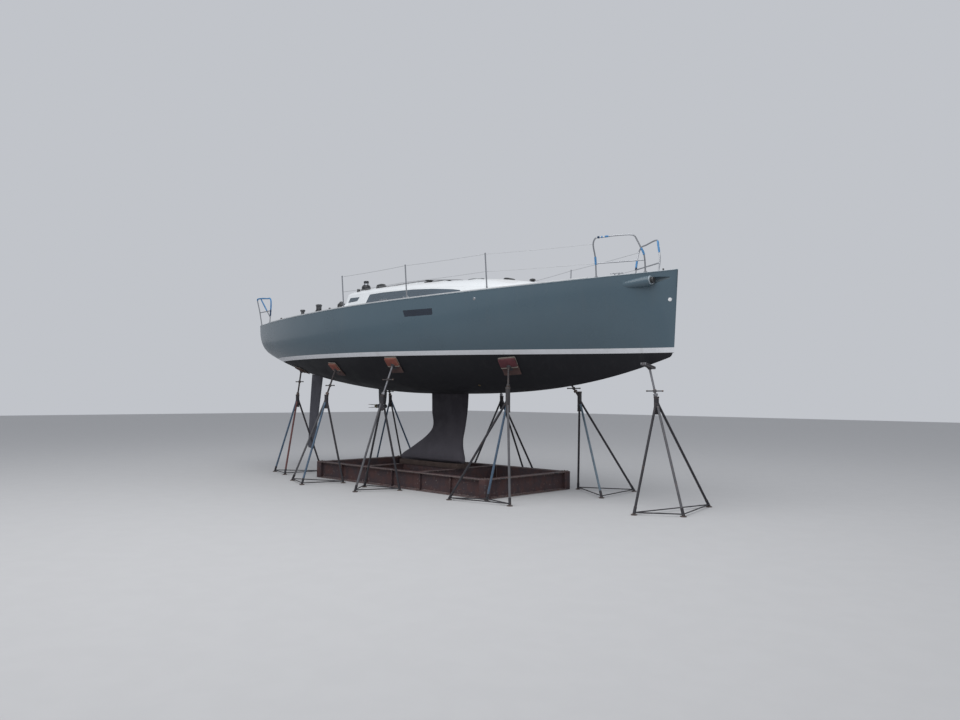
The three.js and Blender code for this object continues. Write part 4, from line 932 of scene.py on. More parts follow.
def buildDeck():
    c, k, d, m = cockpit, companion, deckForm, mastPlace
    start = d["foreStart"]
    x = np.concatenate([np.linspace(0, start, d["aftStations"]),
                        np.linspace(start, hullForm["length"], d["foreStations"])[1:]])
    deck = solid(gridPart(hullNose(deckSections(x), x), last=False))
    roofX = np.linspace(d["roofAft"], d["roofFore"], 80)
    insideX = np.linspace(d["insideAft"], d["insideFore"], 60)
    lin, sole, seat, fore = c["liner"], c["sole"], c["seat"], c["helmFore"]
    half, helmHalf, seatHalf = c["wellHalf"], c["helmHalf"], c["seatHalf"]
    grow = [gridPart(roofSections(roofX)), coamingPart(1), coamingPart(-1),
            block(0.03, fore + lin, -helmHalf - lin, helmHalf + lin, sole - lin, 3.48, 0.05, 0.02),
            block(1.5, 3.64, -half - lin, half + lin, sole - lin, 3.48, 0.05, 0.02),
            block(0.6, 3.64, -seatHalf - lin, seatHalf + lin, seat - lin, 3.54, 0.05, 0.02)]
    rooms = [gridPart(roofSections(insideX, d["ceiling"], d["insideDrop"])),
             block(-0.3, fore, -helmHalf, helmHalf, sole, 3.9, c["corner"], 0.03),
             block(fore - 0.1, c["fore"], -half, half, sole + 0.0004, 3.9, c["corner"], 0.03),
             block(0.64, c["fore"] + 0.0002, -seatHalf, seatHalf, seat, 3.9, c["corner"], 0.02)]
    trim = []
    runFore, low = k["hoodAft"] + 0.02, k["sill"] - 0.04
    for side in (1, -1):
        trim.append(spanBlock(3.602, runFore, 0.305, 0.366, 4.05, k["runLow"], side))
        trim.append(spanBlock(3.602, runFore, k["runHalf"], 0.368, 4.05, 4.166, side, 0.006, 0.003))
        trim.append(spanBlock(3.552, 3.606, 0.322, 0.345, low, 4.12, side, 0.004, 0.003))
        trim.append(spanBlock(3.55, 3.562, 0.3, 0.345, low, 4.121, side, 0.004, 0.003))
        for row in winchRows:
            r = row["pad"]
            rows = [(r + 0.03, 0), (r + 0.008, 0.06), (r, 0.085), (r - 0.004, 0.098), (r - 0.01, 0.1)]
            trim.append(knob(rows, (row["x"], side * row["y"], row["foot"] - 0.1), sides=48))
    hood = k["hoodHalf"]
    trim.append(block(k["hoodAft"], k["hoodFore"], -hood, hood, 4.06, k["hoodTop"], 0.05, 0.018))
    trim += [block(row["aft"], row["fore"], -row["half"], row["half"], row["foot"], row["top"], 0.05, 0.008)
             for row in hatchRows]
    trim.append(slab(mastOval(0.012, 48), 4.03, m["seat"], 0.006))
    cuts = [block(3.5, 3.72, -k["half"], k["half"], k["sill"], 4.4, 0.02, 0.01),
            block(3.59, k["fore"], -k["half"], k["half"], 3.7, 4.15, 0.02, 0.01),
            boxPart(3.59, k["hoodFore"] - 0.018, -k["runHalf"], k["runHalf"], k["runLow"], k["runHigh"])]
    by = hatchForm["openingIn"]
    cuts += [block(row["aft"] + by, row["fore"] - by, -row["half"] + by, row["half"] - by, 3.5, 4.3, 0.04)
             for row in hatchRows]
    cuts.append(deckPatch(9.65, 9.87, 0.33, 0.26, -0.4, 0.06))
    for side in (1, -1):
        cuts.append(spanBlock(lockerLid["aft"] + 0.03, lockerLid["fore"] - 0.03, lockerLid["inner"] + 0.03,
                              lockerLid["outer"] - 0.03, 3.3, 3.42, side, 0.04))
        cuts += [windowPrism(longWindow, side), windowPrism(aftWindow, side)]
    steps = [("UNION", grow), ("DIFFERENCE", rooms), ("UNION", trim), ("DIFFERENCE", cuts)]
    combine(deck, [(how, solid(part)) for how, parts in steps for part in parts], 28)
    deck.name = deck.data.name = "deck_moulding"
    centre, normal = ofFaces(deck.data, "center"), ofFaces(deck.data, "normal")
    rim = (np.abs(centre[:, 1]) > halfBeam(np.clip(centre[:, 0] - sternX, 0, hullForm["length"])) - 0.006)
    rim |= centre[:, 0] - sternX > hullForm["length"] - 0.012
    deck.data.polygons.foreach_set("material_index", (rim & (normal[:, 2] < 0.75)).astype(np.int32))
    setPiece(deck, "yacht", "gelcoat topside", ["deck"])


def buildWindows():
    roofX = np.linspace(3.6, 8.0, 90)
    for label, side in hands:
        for name, outline in (("long", longWindow), ("aft", aftWindow)):
            pane = combine(solid(gridPart(roofSections(roofX))),
                           [("DIFFERENCE", solid(gridPart(roofSections(roofX, 0.014, -0.005)))),
                            ("INTERSECT", solid(windowPrism(outline, side, 0.0008)))])
            pane.name = pane.data.name = f"pane_{name}_{label}"
            setPiece(pane, "yacht", "glass", [f"window_{name}_{label}"])
        x = np.linspace(5.9, 7.2, 40)
        prism = sideCut(inset(hullWindow, 0.0008),
                        *sorted((hullShell["windowInner"] * side, hullShell["windowOuter"] * side)))
        pane = combine(solid(gridPart(hullSections(x))),
                       [("DIFFERENCE", solid(gridPart(hullSections(x, 0.014, 0.06)))),
                        ("INTERSECT", solid(prism))])
        pane.name = pane.data.name = f"pane_hull_{label}"
        setPiece(pane, "yacht", "hullGlass", [f"window_hull_{label}"])


def panelPart(x0, x1, inner, outer, height, corner=0.06, thick=0.0012):
    # y runs from inner(x) to outer(x), both drawn in by r − √(r² − (r − d)²) near the ends
    x = x0 + (x1 - x0) * (1 - np.cos(np.linspace(0, np.pi, 40))) / 2
    d = np.clip(np.minimum(x - x0, x1 - x), 0, corner)
    draw = corner - np.sqrt(np.maximum(corner**2 - (corner - d) ** 2, 0))
    low, high = inner(x) + draw, outer(x) - draw
    y = low[:, None] + (high - low)[:, None] * np.linspace(0, 1, 14)
    grid = np.broadcast_to(x[:, None], y.shape)
    z = height(grid, y)
    top = np.stack([grid, y, z + thick], -1)
    under = np.stack([grid, y, z - 0.004], -1)
    return gridPart(np.concatenate([top, under[:, ::-1]], 1))


def buildNonSkid():
    # side decks, foredeck, roof, seats and sole
    def level(z):
        return lambda x, y: np.full(np.shape(x), z)

    def line(value):
        return lambda x: np.full(np.shape(x), value)

    def foot(x):
        return np.interp(x, [row["x"] for row in roofRows], [row["foot"] for row in roofRows])

    def shoulder(x):
        return 0.84 * rowValues(roofRows, ["shoulder"], x)[0]

    def edge(x):
        return halfBeam(x) - 0.11

    def lidEdge(x):
        return np.interp(x, [9.6, 10.0], [0.35, 0.2])

    parts = []
    for x0, x1 in ((3.95, 5.05), (5.11, 6.2), (6.26, 7.35), (7.41, 8.45)):
        parts.append(panelPart(x0, x1, lambda x: foot(x) + 0.07, edge, deckAt))
    parts.append(panelPart(8.52, 9.52, line(0.33), edge, deckAt))
    parts.append(panelPart(2.05, 3.45, line(1.44), edge, deckAt))
    parts.append(panelPart(0.95, 1.95, lambda x: np.interp(x, [0.9, 2.0], [1.19, 1.4]),
                           lambda x: halfBeam(x) - 0.09, deckAt, 0.03))
    for x0, x1, low, high in ((3.95, 5.25, 0.45, 0.86), (5.31, 6.2, 0.33, 0.8), (6.78, 7.85, 0.03, 0.42)):
        parts.append(panelPart(x0, x1, line(low), lambda x: np.minimum(high, shoulder(x)), roofTop))
    c = cockpit
    parts.append(panelPart(0.7, 1.9, line(0.66), line(0.9), level(c["seat"]), 0.04))
    parts.append(panelPart(lockerLid["aft"] + 0.05, lockerLid["fore"] - 0.05, line(lockerLid["inner"] + 0.04),
                           line(lockerLid["outer"] - 0.04), level(lockerLid["high"]), 0.04))
    seatMat = parts.pop()
    parts += [mirrored(part) for part in parts]
    parts.append(panelPart(0.1, 1.7, line(-0.54), line(0.54), level(c["sole"]), 0.06))
    parts.append(panelPart(2.32, 3.54, line(-0.31), line(0.31), level(c["sole"] + 0.0004), 0.05))
    piece("deck_nonskid", parts, "yacht", "nonSkid", angle=50)
    for label, side in hands:
        lid = spanBlock(lockerLid["aft"], lockerLid["fore"], lockerLid["inner"], lockerLid["outer"],
                        lockerLid["low"], lockerLid["high"], side, 0.03, 0.006)
        mat = seatMat if side > 0 else mirrored(seatMat)
        hinges = [rod((x, side * 0.893, 3.424), (x + 0.07, side * 0.893, 3.424), 0.006)
                  for x in (2.15, 2.5, 2.88)]
        catch = spanBlock(2.52, 2.58, 0.43, 0.452, 3.4, 3.431, side, 0.006, 0.003)
        piece(f"locker_seat_{label}", marked([lid], [mat], [catch] + hinges),
              f"locker_lid_{label}", "gelcoat nonSkid steel", [f"locker_lid_{label}"])
    a = anchorLid
    lid = deckPatch(a["aft"], a["fore"], a["halfAft"], a["halfFore"], a["low"], a["high"])
    mat = panelPart(a["aft"] + 0.04, a["fore"] - 0.04, lambda x: -lidEdge(x), lidEdge,
                    lambda x, y: deckAt(x, y) + a["high"], 0.04)
    latch = knob([(0.028, 0), (0.028, 0.004), (0.02, 0.006)], (9.65, 0, float(deckAt(9.65, 0)) + a["high"]))
    piece("anchor_hatch", marked([lid], [mat], [latch]), "anchor_lid",
          "gelcoat nonSkid steel", ["anchor_locker_lid"])


buildDeck()
buildWindows()
buildNonSkid()
print("deck built")


# Hatches and companionway leaves

boardPull = [(3.566, -0.06, 4.02), (3.552, -0.045, 4.02), (3.552, 0.045, 4.02), (3.566, 0.06, 4.02)]


def buildHatches():
    # layers: how far in from the lid's outline, from and to which height, corner and edge
    h = hatchForm
    for row in hatchRows:
        low = row["top"] + h["gap"]
        aft, fore, half = row["aft"], row["fore"], row["half"]
        layers = [block(aft + by, fore - by, -half + by, half - by, low + z0, low + z1, corner, edge)
                  for by, z0, z1, corner, edge in (h["rim"], h["pane"])]
        handles = [knob(h["handle"], (aft + h["handleIn"], side * h["handleOut"], low + 0.015))
                   for side in (1, -1)]
        x, z = fore - h["hingeIn"], low + 0.008
        hinges = [rod((x, y - h["hingeHalf"], z), (x, y + h["hingeHalf"], z), 0.0075)
                  for y in (-h["hingeOut"], h["hingeOut"])]
        piece(row["name"] + "_lid", marked(layers[:1], layers[1:], handles + hinges), row["body"],
              "alloy acrylic black", [row["name"]])
    k = companion
    leaf = block(3.604, 4.33, -0.33, 0.33, k["runLow"] + 0.006, k["runHigh"] - 0.006, 0.03, 0.004)
    rim = spanBlock(3.612, 3.64, -0.3, 0.3, k["runHigh"] - 0.008, k["runHigh"] - 0.001, 1, 0.004, 0.002)
    piece("slide_leaf", marked([leaf], [rim]), "sliding_hatch", "acrylic alloy", ["sliding_hatch"])
    board = block(-0.315, 0.315, k["sill"] + 0.005, 4.142, 0, 0.025, 0.012, 0.003)
    board = placed(board, (3.569, 0, 0), (0, 1, 0), (0, 0, 1))
    pull = sweep(smoothPath(boardPull, 20), 0.006, 10)
    piece("companion_board", marked([board], [pull]), "washboard", "acrylic steel", ["washboard"])


buildHatches()
print("hatches built")


# Fins, drive and propeller

keelRows = table(
    "z lead trail half",
    (0.446, 6.15, 4.27, 0.09), (0.48, 6.185, 4.225, 0.145), (0.56, 6.18, 4.29, 0.172),
    (0.66, 6.155, 4.49, 0.158), (0.8, 6.14, 4.76, 0.112), (0.94, 6.15, 5.01, 0.08),
    (1.09, 6.19, 5.2, 0.064), (1.5, 6.27, 5.215, 0.062), (1.95, 6.3, 5.205, 0.066),
)
rudderRows = table(
    "z lead trail half",
    (0.0, 0.112, -0.365, 0.03), (-0.5, 0.1, -0.335, 0.027), (-1.1, 0.082, -0.29, 0.022),
    (-1.7, 0.05, -0.225, 0.015), (-1.8, 0.03, -0.212, 0.01), (-1.815, 0.01, -0.198, 0.004),
)
driveRows = table(
    "z lead trail half",
    (2.15, 3.69, 3.4, 0.044), (1.7, 3.67, 3.42, 0.04), (1.6, 3.65, 3.435, 0.038),
    (1.545, 3.64, 3.44, 0.036),
)
keelLevels = np.concatenate([0.446 + np.array([0, 0.002, 0.006, 0.013, 0.022]), np.linspace(0.48, 1.15, 44),
                             np.linspace(1.2, 1.95, 10)])
rudderLevels = np.concatenate([np.linspace(0, -1.7, 30), [-1.75, -1.78, -1.8, -1.808, -1.815]])
driveForm = dict(
    z=1.56, podFore=3.7, anodeFore=3.44, hubFore=3.394, skirtLead=3.74, skirtTrail=3.35, skirtHalf=0.075,
    skirtLow=1.985, skirtHigh=2.03,
    pod=[(0, 0.01), (0.01, 0.0), (0.018, 0.003), (0.036, 0.022), (0.047, 0.05), (0.05, 0.075), (0.05, 0.235),
         (0.047, 0.262), (0.042, 0.298), (0.04, 0.3), (0, 0.3)],
    skeg=[(3.58, 1.5), (3.56, 1.452), (3.52, 1.446), (3.505, 1.5)],
    anode=[(0.0425, 0), (0.048, 0.004), (0.048, 0.03), (0.0425, 0.034)],
    hub=[(0, 0), (0.03, 0), (0.04, 0.006), (0.042, 0.014), (0.042, 0.066), (0.038, 0.082), (0.03, 0.095),
         (0.016, 0.101), (0, 0.102)],
)
propeller = dict(pinX=3.33, pinUp=0.026, pinHalf=0.0385, rootHalf=0.02, rootRadius=0.0155, bladeFore=3.3,
                 bladeLength=0.26, slotAft=3.2, slotFore=3.352, slotHalf=0.028, slotLow=0.008, slotHigh=0.072,
                 shares=[0, 0.25, 0.38, 0.6, 0.8, 0.93, 1.0],
                 halves=[0.013, 0.016, 0.032, 0.044, 0.037, 0.021, 0.004])


def foilSections(rows, z, count=26):
    # half thickness h·(0.2969√c − 0.126c − 0.3516c² + 0.2843c³ − 0.1036c⁴)/0.1 at c of the chord
    order = sorted(rows, key=lambda row: row["z"])
    lead, trail, half = through([row["z"] for row in order],
                                [[row["lead"], row["trail"], row["half"]] for row in order], z).T
    c = (1 - np.cos(np.linspace(0, np.pi, count))) / 2
    shape = (0.2969 * np.sqrt(c) - 0.126 * c - 0.3516 * c**2 + 0.2843 * c**3 - 0.1036 * c**4) / 0.1
    x = lead[:, None] + (trail - lead)[:, None] * c
    y = half[:, None] * shape
    upper = np.stack([x, y, np.broadcast_to(z[:, None], x.shape)], -1)
    return np.concatenate([upper, upper[:, -2:0:-1] * np.array([1, -1, 1])], 1)


def buildFins():
    piece("keel_fin", [gridPart(foilSections(keelRows, keelLevels, 34))], "yacht", "keelPaint", ["keel"],
          50)
    blade = gridPart(foilSections(rudderRows, rudderLevels))
    c = rudderPlace
    stock = rod((0, 0, -0.04), (0, 0, 0.64), c["stockRadius"], sides=28)
    ring = turned([(0.026, 0.0005), (0.04, 0.0005), (0.04, 0.01), (0.034, 0.014), (0.026, 0.014)], (0, 0, 0),
                  sides=32)
    cosine, sine = math.cos(c["rake"]), math.sin(c["rake"])
    lean = np.array([[cosine, 0, -sine], [0, 1, 0], [sine, 0, cosine]])
    origin = np.array([c["x"], 0, c["z"]])
    blade, stock, ring = [(part[0] @ lean + origin, part[1]) for part in (blade, stock, ring)]
    piece("rudder_blade", marked([blade], [stock, ring]), "rudder", "rudderPaint steel", ["rudder"],
          50)
    buildDrive()
    buildPropeller()


def buildDrive():
    d = driveForm
    aft = (-1, 0, 0)
    leg = gridPart(foilSections(driveRows, np.linspace(1.545, 2.15, 20)))
    pod = turned(d["pod"], (d["podFore"], 0, d["z"]), aft, 40)
    skeg = sideCut(d["skeg"], -0.005, 0.005)
    anode = turned(d["anode"], (d["anodeFore"], 0, d["z"]), aft, 40)
    skirtRows = [dict(z=z, lead=d["skirtLead"], trail=d["skirtTrail"], half=d["skirtHalf"])
                 for z in (0.0, 1.0)]
    skirt = slab(foilSections(skirtRows, np.array([0.5]))[0][:, :2], d["skirtLow"], d["skirtHigh"], 0.004)
    intake = [block(3.52 + 0.03 * n, 3.535 + 0.03 * n, -0.0415, 0.0415, 1.78, 1.84, 0.004, 0.001)
              for n in range(3)]
    piece("saildrive_leg", marked([leg, pod, skeg], [anode], [skirt] + intake), "yacht",
          "driveGrey galvanised rubber", ["saildrive"], 40)


def buildPropeller():
    # each blade: half width by its share of the length, turned a little along the way
    d = driveForm
    c = propeller
    slots = []
    for side in (1, -1):
        near = d["z"] + side * c["slotLow"]
        low, high = sorted((near, near + side * c["slotHigh"]))
        slots.append(boxPart(c["slotAft"], c["slotFore"], -c["slotHalf"], c["slotHalf"], low, high))
    hub = combine(solid(turned(d["hub"], (d["hubFore"], 0, d["z"]), (-1, 0, 0), 40)),
                  [("DIFFERENCE", solid(slot)) for slot in slots])
    hub.name = hub.data.name = "folding_hub"
    setPiece(hub, "propeller", "bronze", ["propeller_hub"])
    pins = [rod((c["pinX"], -c["pinHalf"], z), (c["pinX"], c["pinHalf"], z), 0.0065)
            for z in (d["z"] + c["pinUp"], d["z"] - c["pinUp"])]
    piece("folding_pins", pins, "propeller", "steel")
    for label, side in (("upper", 1), ("lower", -1)):
        z0 = d["z"] + side * c["pinUp"]
        t = np.linspace(0, 1, 26)
        x = c["bladeFore"] - c["bladeLength"] * t
        half = through(c["shares"], c["halves"], t)[:, 0]
        lift = side * 0.011 * t
        twist = side * (0.55 - 0.45 * t)
        turn = circle(24)
        thick = 0.0075 - 0.0045 * t
        u = half[:, None] * np.cos(turn)
        w = thick[:, None] * np.sin(turn)
        y = u * np.cos(twist * 0.35)[:, None]
        z = z0 + lift[:, None] + w + u * np.sin(twist * 0.35)[:, None] * 0.35
        vane = gridPart(np.stack([np.broadcast_to(x[:, None], y.shape), y, z], -1))
        root = rod((c["pinX"], -c["rootHalf"], z0), (c["pinX"], c["rootHalf"], z0), c["rootRadius"], sides=28)
        piece(f"folding_blade_{label}", [vane, root], f"blade_{label}", "bronze",
              [f"propeller_blade_{label}"], 50)


buildFins()
print("fins built")


# Rails, pulpits and lifelines

stanchionRows = [4.508, 6.25, 7.927]
stanchion = dict(high=0.618, lean=0.045, inboard=0.048, radius=0.0125, padRadius=0.026)


def stanchionPoints(x, side):
    # foot on the deck and top, which leans outwards
    c = stanchion
    y = side * (float(halfBeam(x)) - c["inboard"])
    foot = footAt(x, y, c["padRadius"])
    return np.array([x, y, foot]), np.array([x - 0.004, y + side * c["lean"], foot + c["high"]])


pulpitRows = {1: dict(aft=9.91, corner=10.44), -1: dict(aft=9.785, corner=10.39)}


def pulpitPath(side):
    # up the aft leg, along the top to the corner, and down the fore leg
    aft, corner = pulpitRows[side]["aft"], pulpitRows[side]["corner"]
    rows = [(aft + 0.005, 0.016, 4.08), (aft + 0.014, -0.056, 4.315), (aft + 0.065, -0.08, 4.39),
            (aft + 0.18, -0.08, 4.403), (corner - 0.045, -0.036, 4.418), (corner + 0.008, -0.028, 4.4)]
    down = ((0.38, -0.02, 4.309), (0.66, -0.014, 4.21), (0.92, -0.008, 4.12))
    rows += [(corner + (10.534 - corner) * share, out, z) for share, out, z in down]
    rows.append((10.534, 0.006, 4.02))
    points = [(x, side * (float(halfBeam(x)) - out), z) for x, out, z in rows]
    feet = [(x, side * (float(halfBeam(x)) - out)) for x, out in ((aft, 0.05), (10.52, 0.052))]
    low = [footAt(x, y, 0.03) + 0.002 for x, y in feet]
    return [(*feet[0], low[0])] + points + [(*feet[1], low[1])]


def pushpitPath(side):
    # up the aft leg, forward along the top and down the fore leg
    def stern(x, out):
        return side * (float(halfBeam(x)) - out)
    feet = [(0.066, stern(0.066, 0.027)), (0.775, stern(0.775, 0.05))]
    low = [footAt(x, y, 0.03) + 0.002 for x, y in feet]
    y0 = feet[0][1]
    return [(*feet[0], low[0]), (0.054, y0 + side * 0.055, 3.84), (0.04, y0 + side * 0.108, 4.08),
            (0.052, y0 + side * 0.122, 4.142), (0.15, stern(0.15, -0.08), 4.152),
            (0.69, stern(0.69, -0.004), 4.104), (0.85, stern(0.85, 0.022), 4.086),
            (0.894, stern(0.894, 0.03), 4.02), (*feet[1], low[1])]


def shoe(x, y, z, radius=0.03):
    return knob([(radius, 0), (radius, 0.004), (radius - 0.004, 0.007), (0.017, 0.009), (0.0155, 0.026),
                 (0.0125, 0.028)], (x, y, z), sides=28)


def wrapOn(path, start, end, radius, lumps=7):
    # a sleeve round part of a tube; its radius swells and shrinks a little on the way
    share = np.linspace(start, end, 28)
    points = through(np.linspace(0, 1, len(path)), path, share)
    swell = radius * (1 + 0.1 * np.sin(np.linspace(0, lumps * np.pi, 28)) * np.cos(share * 37))
    swell[[0, -1]] *= 0.9
    return sweep(points, swell, 14)


# tube, from and to which share of its length, radius and, where given, the number of lumps
tapeRows = [("starboardBow", 0.08, 0.135, 0.018), ("starboardBow", 0.76, 0.85, 0.017),
            ("portBow", 0.105, 0.165, 0.018), ("portBow", 0.6, 0.76, 0.017),
            ("starboardBow", 0.372, 0.386, 0.016), ("starboardBow", 0.402, 0.424, 0.016),
            ("starboardStern", 0.315, 0.9, 0.017, 13), ("brace", 0.04, 0.66, 0.0155, 9),
            ("portStern", 0.4, 0.6, 0.017), ("portStern", 0.8, 0.92, 0.018)]
darkTapeRows = [("starboardBow", 0.335, 0.357, 0.019), ("portBow", 0.09, 0.108, 0.018),
                ("starboardStern", 0.895, 0.945, 0.018, 5)]


def buildRails():
    for label, side in hands:
        x = np.linspace(0.88, 9.66, 90)
        y = side * (halfBeam(x) - 0.03)
        z = np.maximum(deckAt(x, y - side * 0.012), deckAt(x, y + side * 0.012)) + 0.0105
        profile = [(-0.0075, -0.012), (-0.003, -0.012), (0.005, -0.01), (0.0075, -0.006), (0.0075, 0.006),
                   (0.005, 0.01), (-0.003, 0.012), (-0.0075, 0.012)]
        toe = sweep(np.stack([x, y, z], 1), 1.0, section=profile, up=(0, 0, 1))
        posts = []
        for post in stanchionRows:
            foot, top = stanchionPoints(post, side)
            posts.append(rod(foot, top, stanchion["radius"], sides=18))
            posts.append(turned([(0.0128, 0), (0.026, 0), (0.026, 0.006), (0.017, 0.012), (0.0165, 0.04),
                                 (0.0128, 0.042)], foot, top - foot, 24))
            posts.append(turned([(0, 0), (0.0135, 0), (0.0145, 0.006), (0.012, 0.014), (0, 0.017)], top,
                                top - foot, 18))
        piece(f"toe_rail_{label}", marked([toe], posts), "yacht", "toeRail steel",
              [f"rail_{label}"])
        bow = smoothPath(pulpitPath(side), 110)
        aft = pulpitRows[side]["aft"]
        middle = rod((aft + 0.005, side * (halfBeam(aft + 0.005) - 0.032), 3.99),
                     (10.53, side * (halfBeam(10.53) - 0.032), 4.005), 0.011)
        shoes = [shoe(*bow[n] - np.array([0, 0, 0.002])) for n in (0, -1)]
        piece(f"pulpit_rail_{label}", [sweep(bow, 0.0125, 18), middle] + shoes, "yacht", "steel",
              [f"pulpit_{label}"], 40)
        stern = smoothPath(pushpitPath(side), 110)
        y0 = stern[0][1]
        middle = rod((0.056, y0 + side * 0.05, 3.82), (0.842, side * (halfBeam(0.842) - 0.038), 3.8), 0.011)
        brace = rod((0.26, side * (halfBeam(0.26) + 0.064), 4.142),
                    (0.792, stern[-1][1] + side * 0.006, 3.65), 0.011)
        shoes = [shoe(*stern[n] - np.array([0, 0, 0.002]), 0.026) for n in (0, -1)]
        piece(f"pushpit_rail_{label}", [sweep(stern, 0.0125, 18), middle, brace] + shoes, "yacht", "steel",
              [f"pushpit_{label}"], 40)
        wires = []
        sag = np.outer(np.sin(np.linspace(0, np.pi, 13)[:-1]), (0, 0, 0.008))
        for share in (1.0, 0.5):
            knots = [stanchionPoints(x, side) for x in stanchionRows]
            knots = [foot + (top - foot) * share * 0.985 for foot, top in knots]
            x, out, z = (aft + 0.012, -0.05, 4.3) if share > 0.9 else (aft + 0.005, 0.032, 3.99)
            run = np.array(knots + [(x, side * (float(halfBeam(x)) - out), z)])
            spans = [np.linspace(a, b, 13)[:-1] - sag for a, b in zip(run[:-1], run[1:])]
            wires.append(sweep(np.concatenate(spans + [run[-1:]]), 0.0032, 8))
        piece(f"lifelines_{label}", wires, "yacht", "wire")
    paths = dict(starboardBow=smoothPath(pulpitPath(-1), 110), portBow=smoothPath(pulpitPath(1), 110),
                 starboardStern=smoothPath(pushpitPath(-1), 110), portStern=smoothPath(pushpitPath(1), 110))
    paths["brace"] = np.linspace((0.26, -(halfBeam(0.26) + 0.064), 4.142),
                                 (0.792, paths["starboardStern"][-1][1] - 0.006, 3.65), 30)
    tapes, dark = [[wrapOn(paths[row[0]], *row[1:]) for row in rows] for rows in (tapeRows, darkTapeRows)]
    piece("rail_tape", marked(tapes, dark), "yacht", "tape tapeDark")


buildRails()
print("rails built")


# Bowsprit

def buildBowsprit():
    c = bowspritLine
    axis = onSprit(0) - onSprit(1)
    r = c["radius"]
    tube = knob([(r - 0.003, 0), (r, 0.004), (r, 2.56)], onSprit(c["length"]), axis, 48)
    cap = turned([(r, 0), (r + 0.0015, 0.002), (r + 0.0015, 0.026), (r - 0.002, 0.036), (0.026, 0.04),
                  (0, 0.04)], onSprit(0.04), axis, 48)
    turn = np.linspace(0, np.pi, 20)
    eye = sweep(onSprit(0.018) + np.stack([0.016 * np.cos(turn), 0 * turn, -r - 0.024 * np.sin(turn)], 1),
                0.004, 10)
    piece("sprit_tube", marked([tube], [cap], [eye]), "bowsprit", "carbon black steel",
          ["bowsprit"])
    ring = turned([(0.0502, 0), (0.07, 0), (0.0725, 0.004), (0.0725, 0.02), (0.0685, 0.028), (0.0502, 0.029)],
                  onSprit(0.081), axis, 56)
    seal = turned([(r + 0.0005, 0), (0.0505, 0), (0.0505, 0.012), (0.047, 0.016), (r + 0.0005, 0.016)],
                  onSprit(0.058), axis, 48)
    piece("sprit_collar", marked([ring], [seal]), "yacht", "collarGrey rubber")


buildBowsprit()


# Stands and pads

standForm = dict(hub=1.78, sleeveDrop=0.26, tube=0.0205, sleeve=0.04, screw=0.019, pitch=0.012, thread=0.0028,
                 tie=0.0095, grip=0.15)
standRows = [
    dict(name="forward", side=-1, over=0.03, under=0.035, grip=(0.7, -0.714), x=8.06, s=0.25, along=0.34,
         up=0.33, hub=(8.38, -1.11), pad="padRed", tall=1.955,
         feet=[(7.5, -1.64), (8.05, -1.27), (8.72, -1.42)], legs="standDark standBlue standGrey"),
    dict(name="forward", side=1, x=8.06, s=0.25, along=0.34, up=0.33, hub=(8.3, 1.0), pad="padRed", tall=1.9,
         feet=[(8.04, 1.3), (9.14, 0.54), (8.99, 1.8)], legs="standDark standPale standDark"),
    dict(name="middle", side=-1, rise=0.56, x=5.7, s=0.32, along=0.3, up=0.38, hub=(5.65, -1.66),
         pad="padOrange", feet=[(5.5, -2.16), (5.88, -1.4), (4.98, -1.55)],
         legs="standGrey standDark standDark"),
    dict(name="middle", side=1, x=5.7, s=0.32, along=0.3, up=0.38, hub=(5.7, 1.612), pad="padOrange",
         feet=[(4.95, 1.38), (5.85, 2.25), (6.45, 1.95)], legs="standGrey standDark standDark"),
    dict(name="after", side=-1, rise=0.42, x=3.82, s=0.27, along=0.27, up=0.38, hub=(3.72, -1.612),
         pad="padOrange", feet=[(3.85, -2.25), (4.13, -1.45), (3.02, -1.95)],
         legs="standBlue standDark standGrey"),
    dict(name="after", side=1, x=3.82, s=0.27, along=0.27, up=0.38, hub=(3.72, 1.612), pad="padOrange",
         feet=[(3.85, 2.15), (4.23, 1.45), (3.12, 1.85)], legs="standDark standDark standDark"),
    dict(name="quarter", side=-1, rise=0.6, x=1.8, s=0.13, along=0.3, up=0.3, hub=(1.62, -0.98),
         pad="padBrown", feet=[(1.87, -1.43), (1.09, -1.22), (1.97, -0.5)],
         legs="standRed standBlue standDark"),
    dict(name="quarter", side=1, x=2.3, s=0.15, along=0.3, up=0.3, hub=(2.15, 1.35), pad="padBrown",
         feet=[(1.77, 1.2), (2.7, 1.8), (2.01, 1.9)], legs="standBlue standBlue standDark"),
]
bowStand = dict(pad=10.53, half=0.05, inboard=0.03, outboard=0.28, thick=0.04, roll=0.2, hub=(10.6, 0.0),
                feet=[(10.66, -0.74), (11.27, -0.34), (11.01, 0.93)], legs="standDark standGrey standDark")


def threaded(a, b, radius, pitch, depth, sides=14):
    # r = radius − depth·|2·frac(h/pitch − a/2π) − 1|: a helical ridge along the rod
    a = np.asarray(a, float)
    run = np.asarray(b, float) - a
    length = np.linalg.norm(run)
    axis = run / length
    e1, e2 = np.linalg.svd(axis[None])[2][1:]
    h = np.arange(0, length, pitch / 4)[:, None]
    turn = circle(sides)[None]
    ridge = np.abs(2 * ((h / pitch - turn / (2 * np.pi)) % 1) - 1)
    r = (radius - depth * ridge)[..., None]
    turn = turn[..., None]
    return gridPart(a + h[..., None] * axis + r * (np.cos(turn) * e1 + np.sin(turn) * e2))


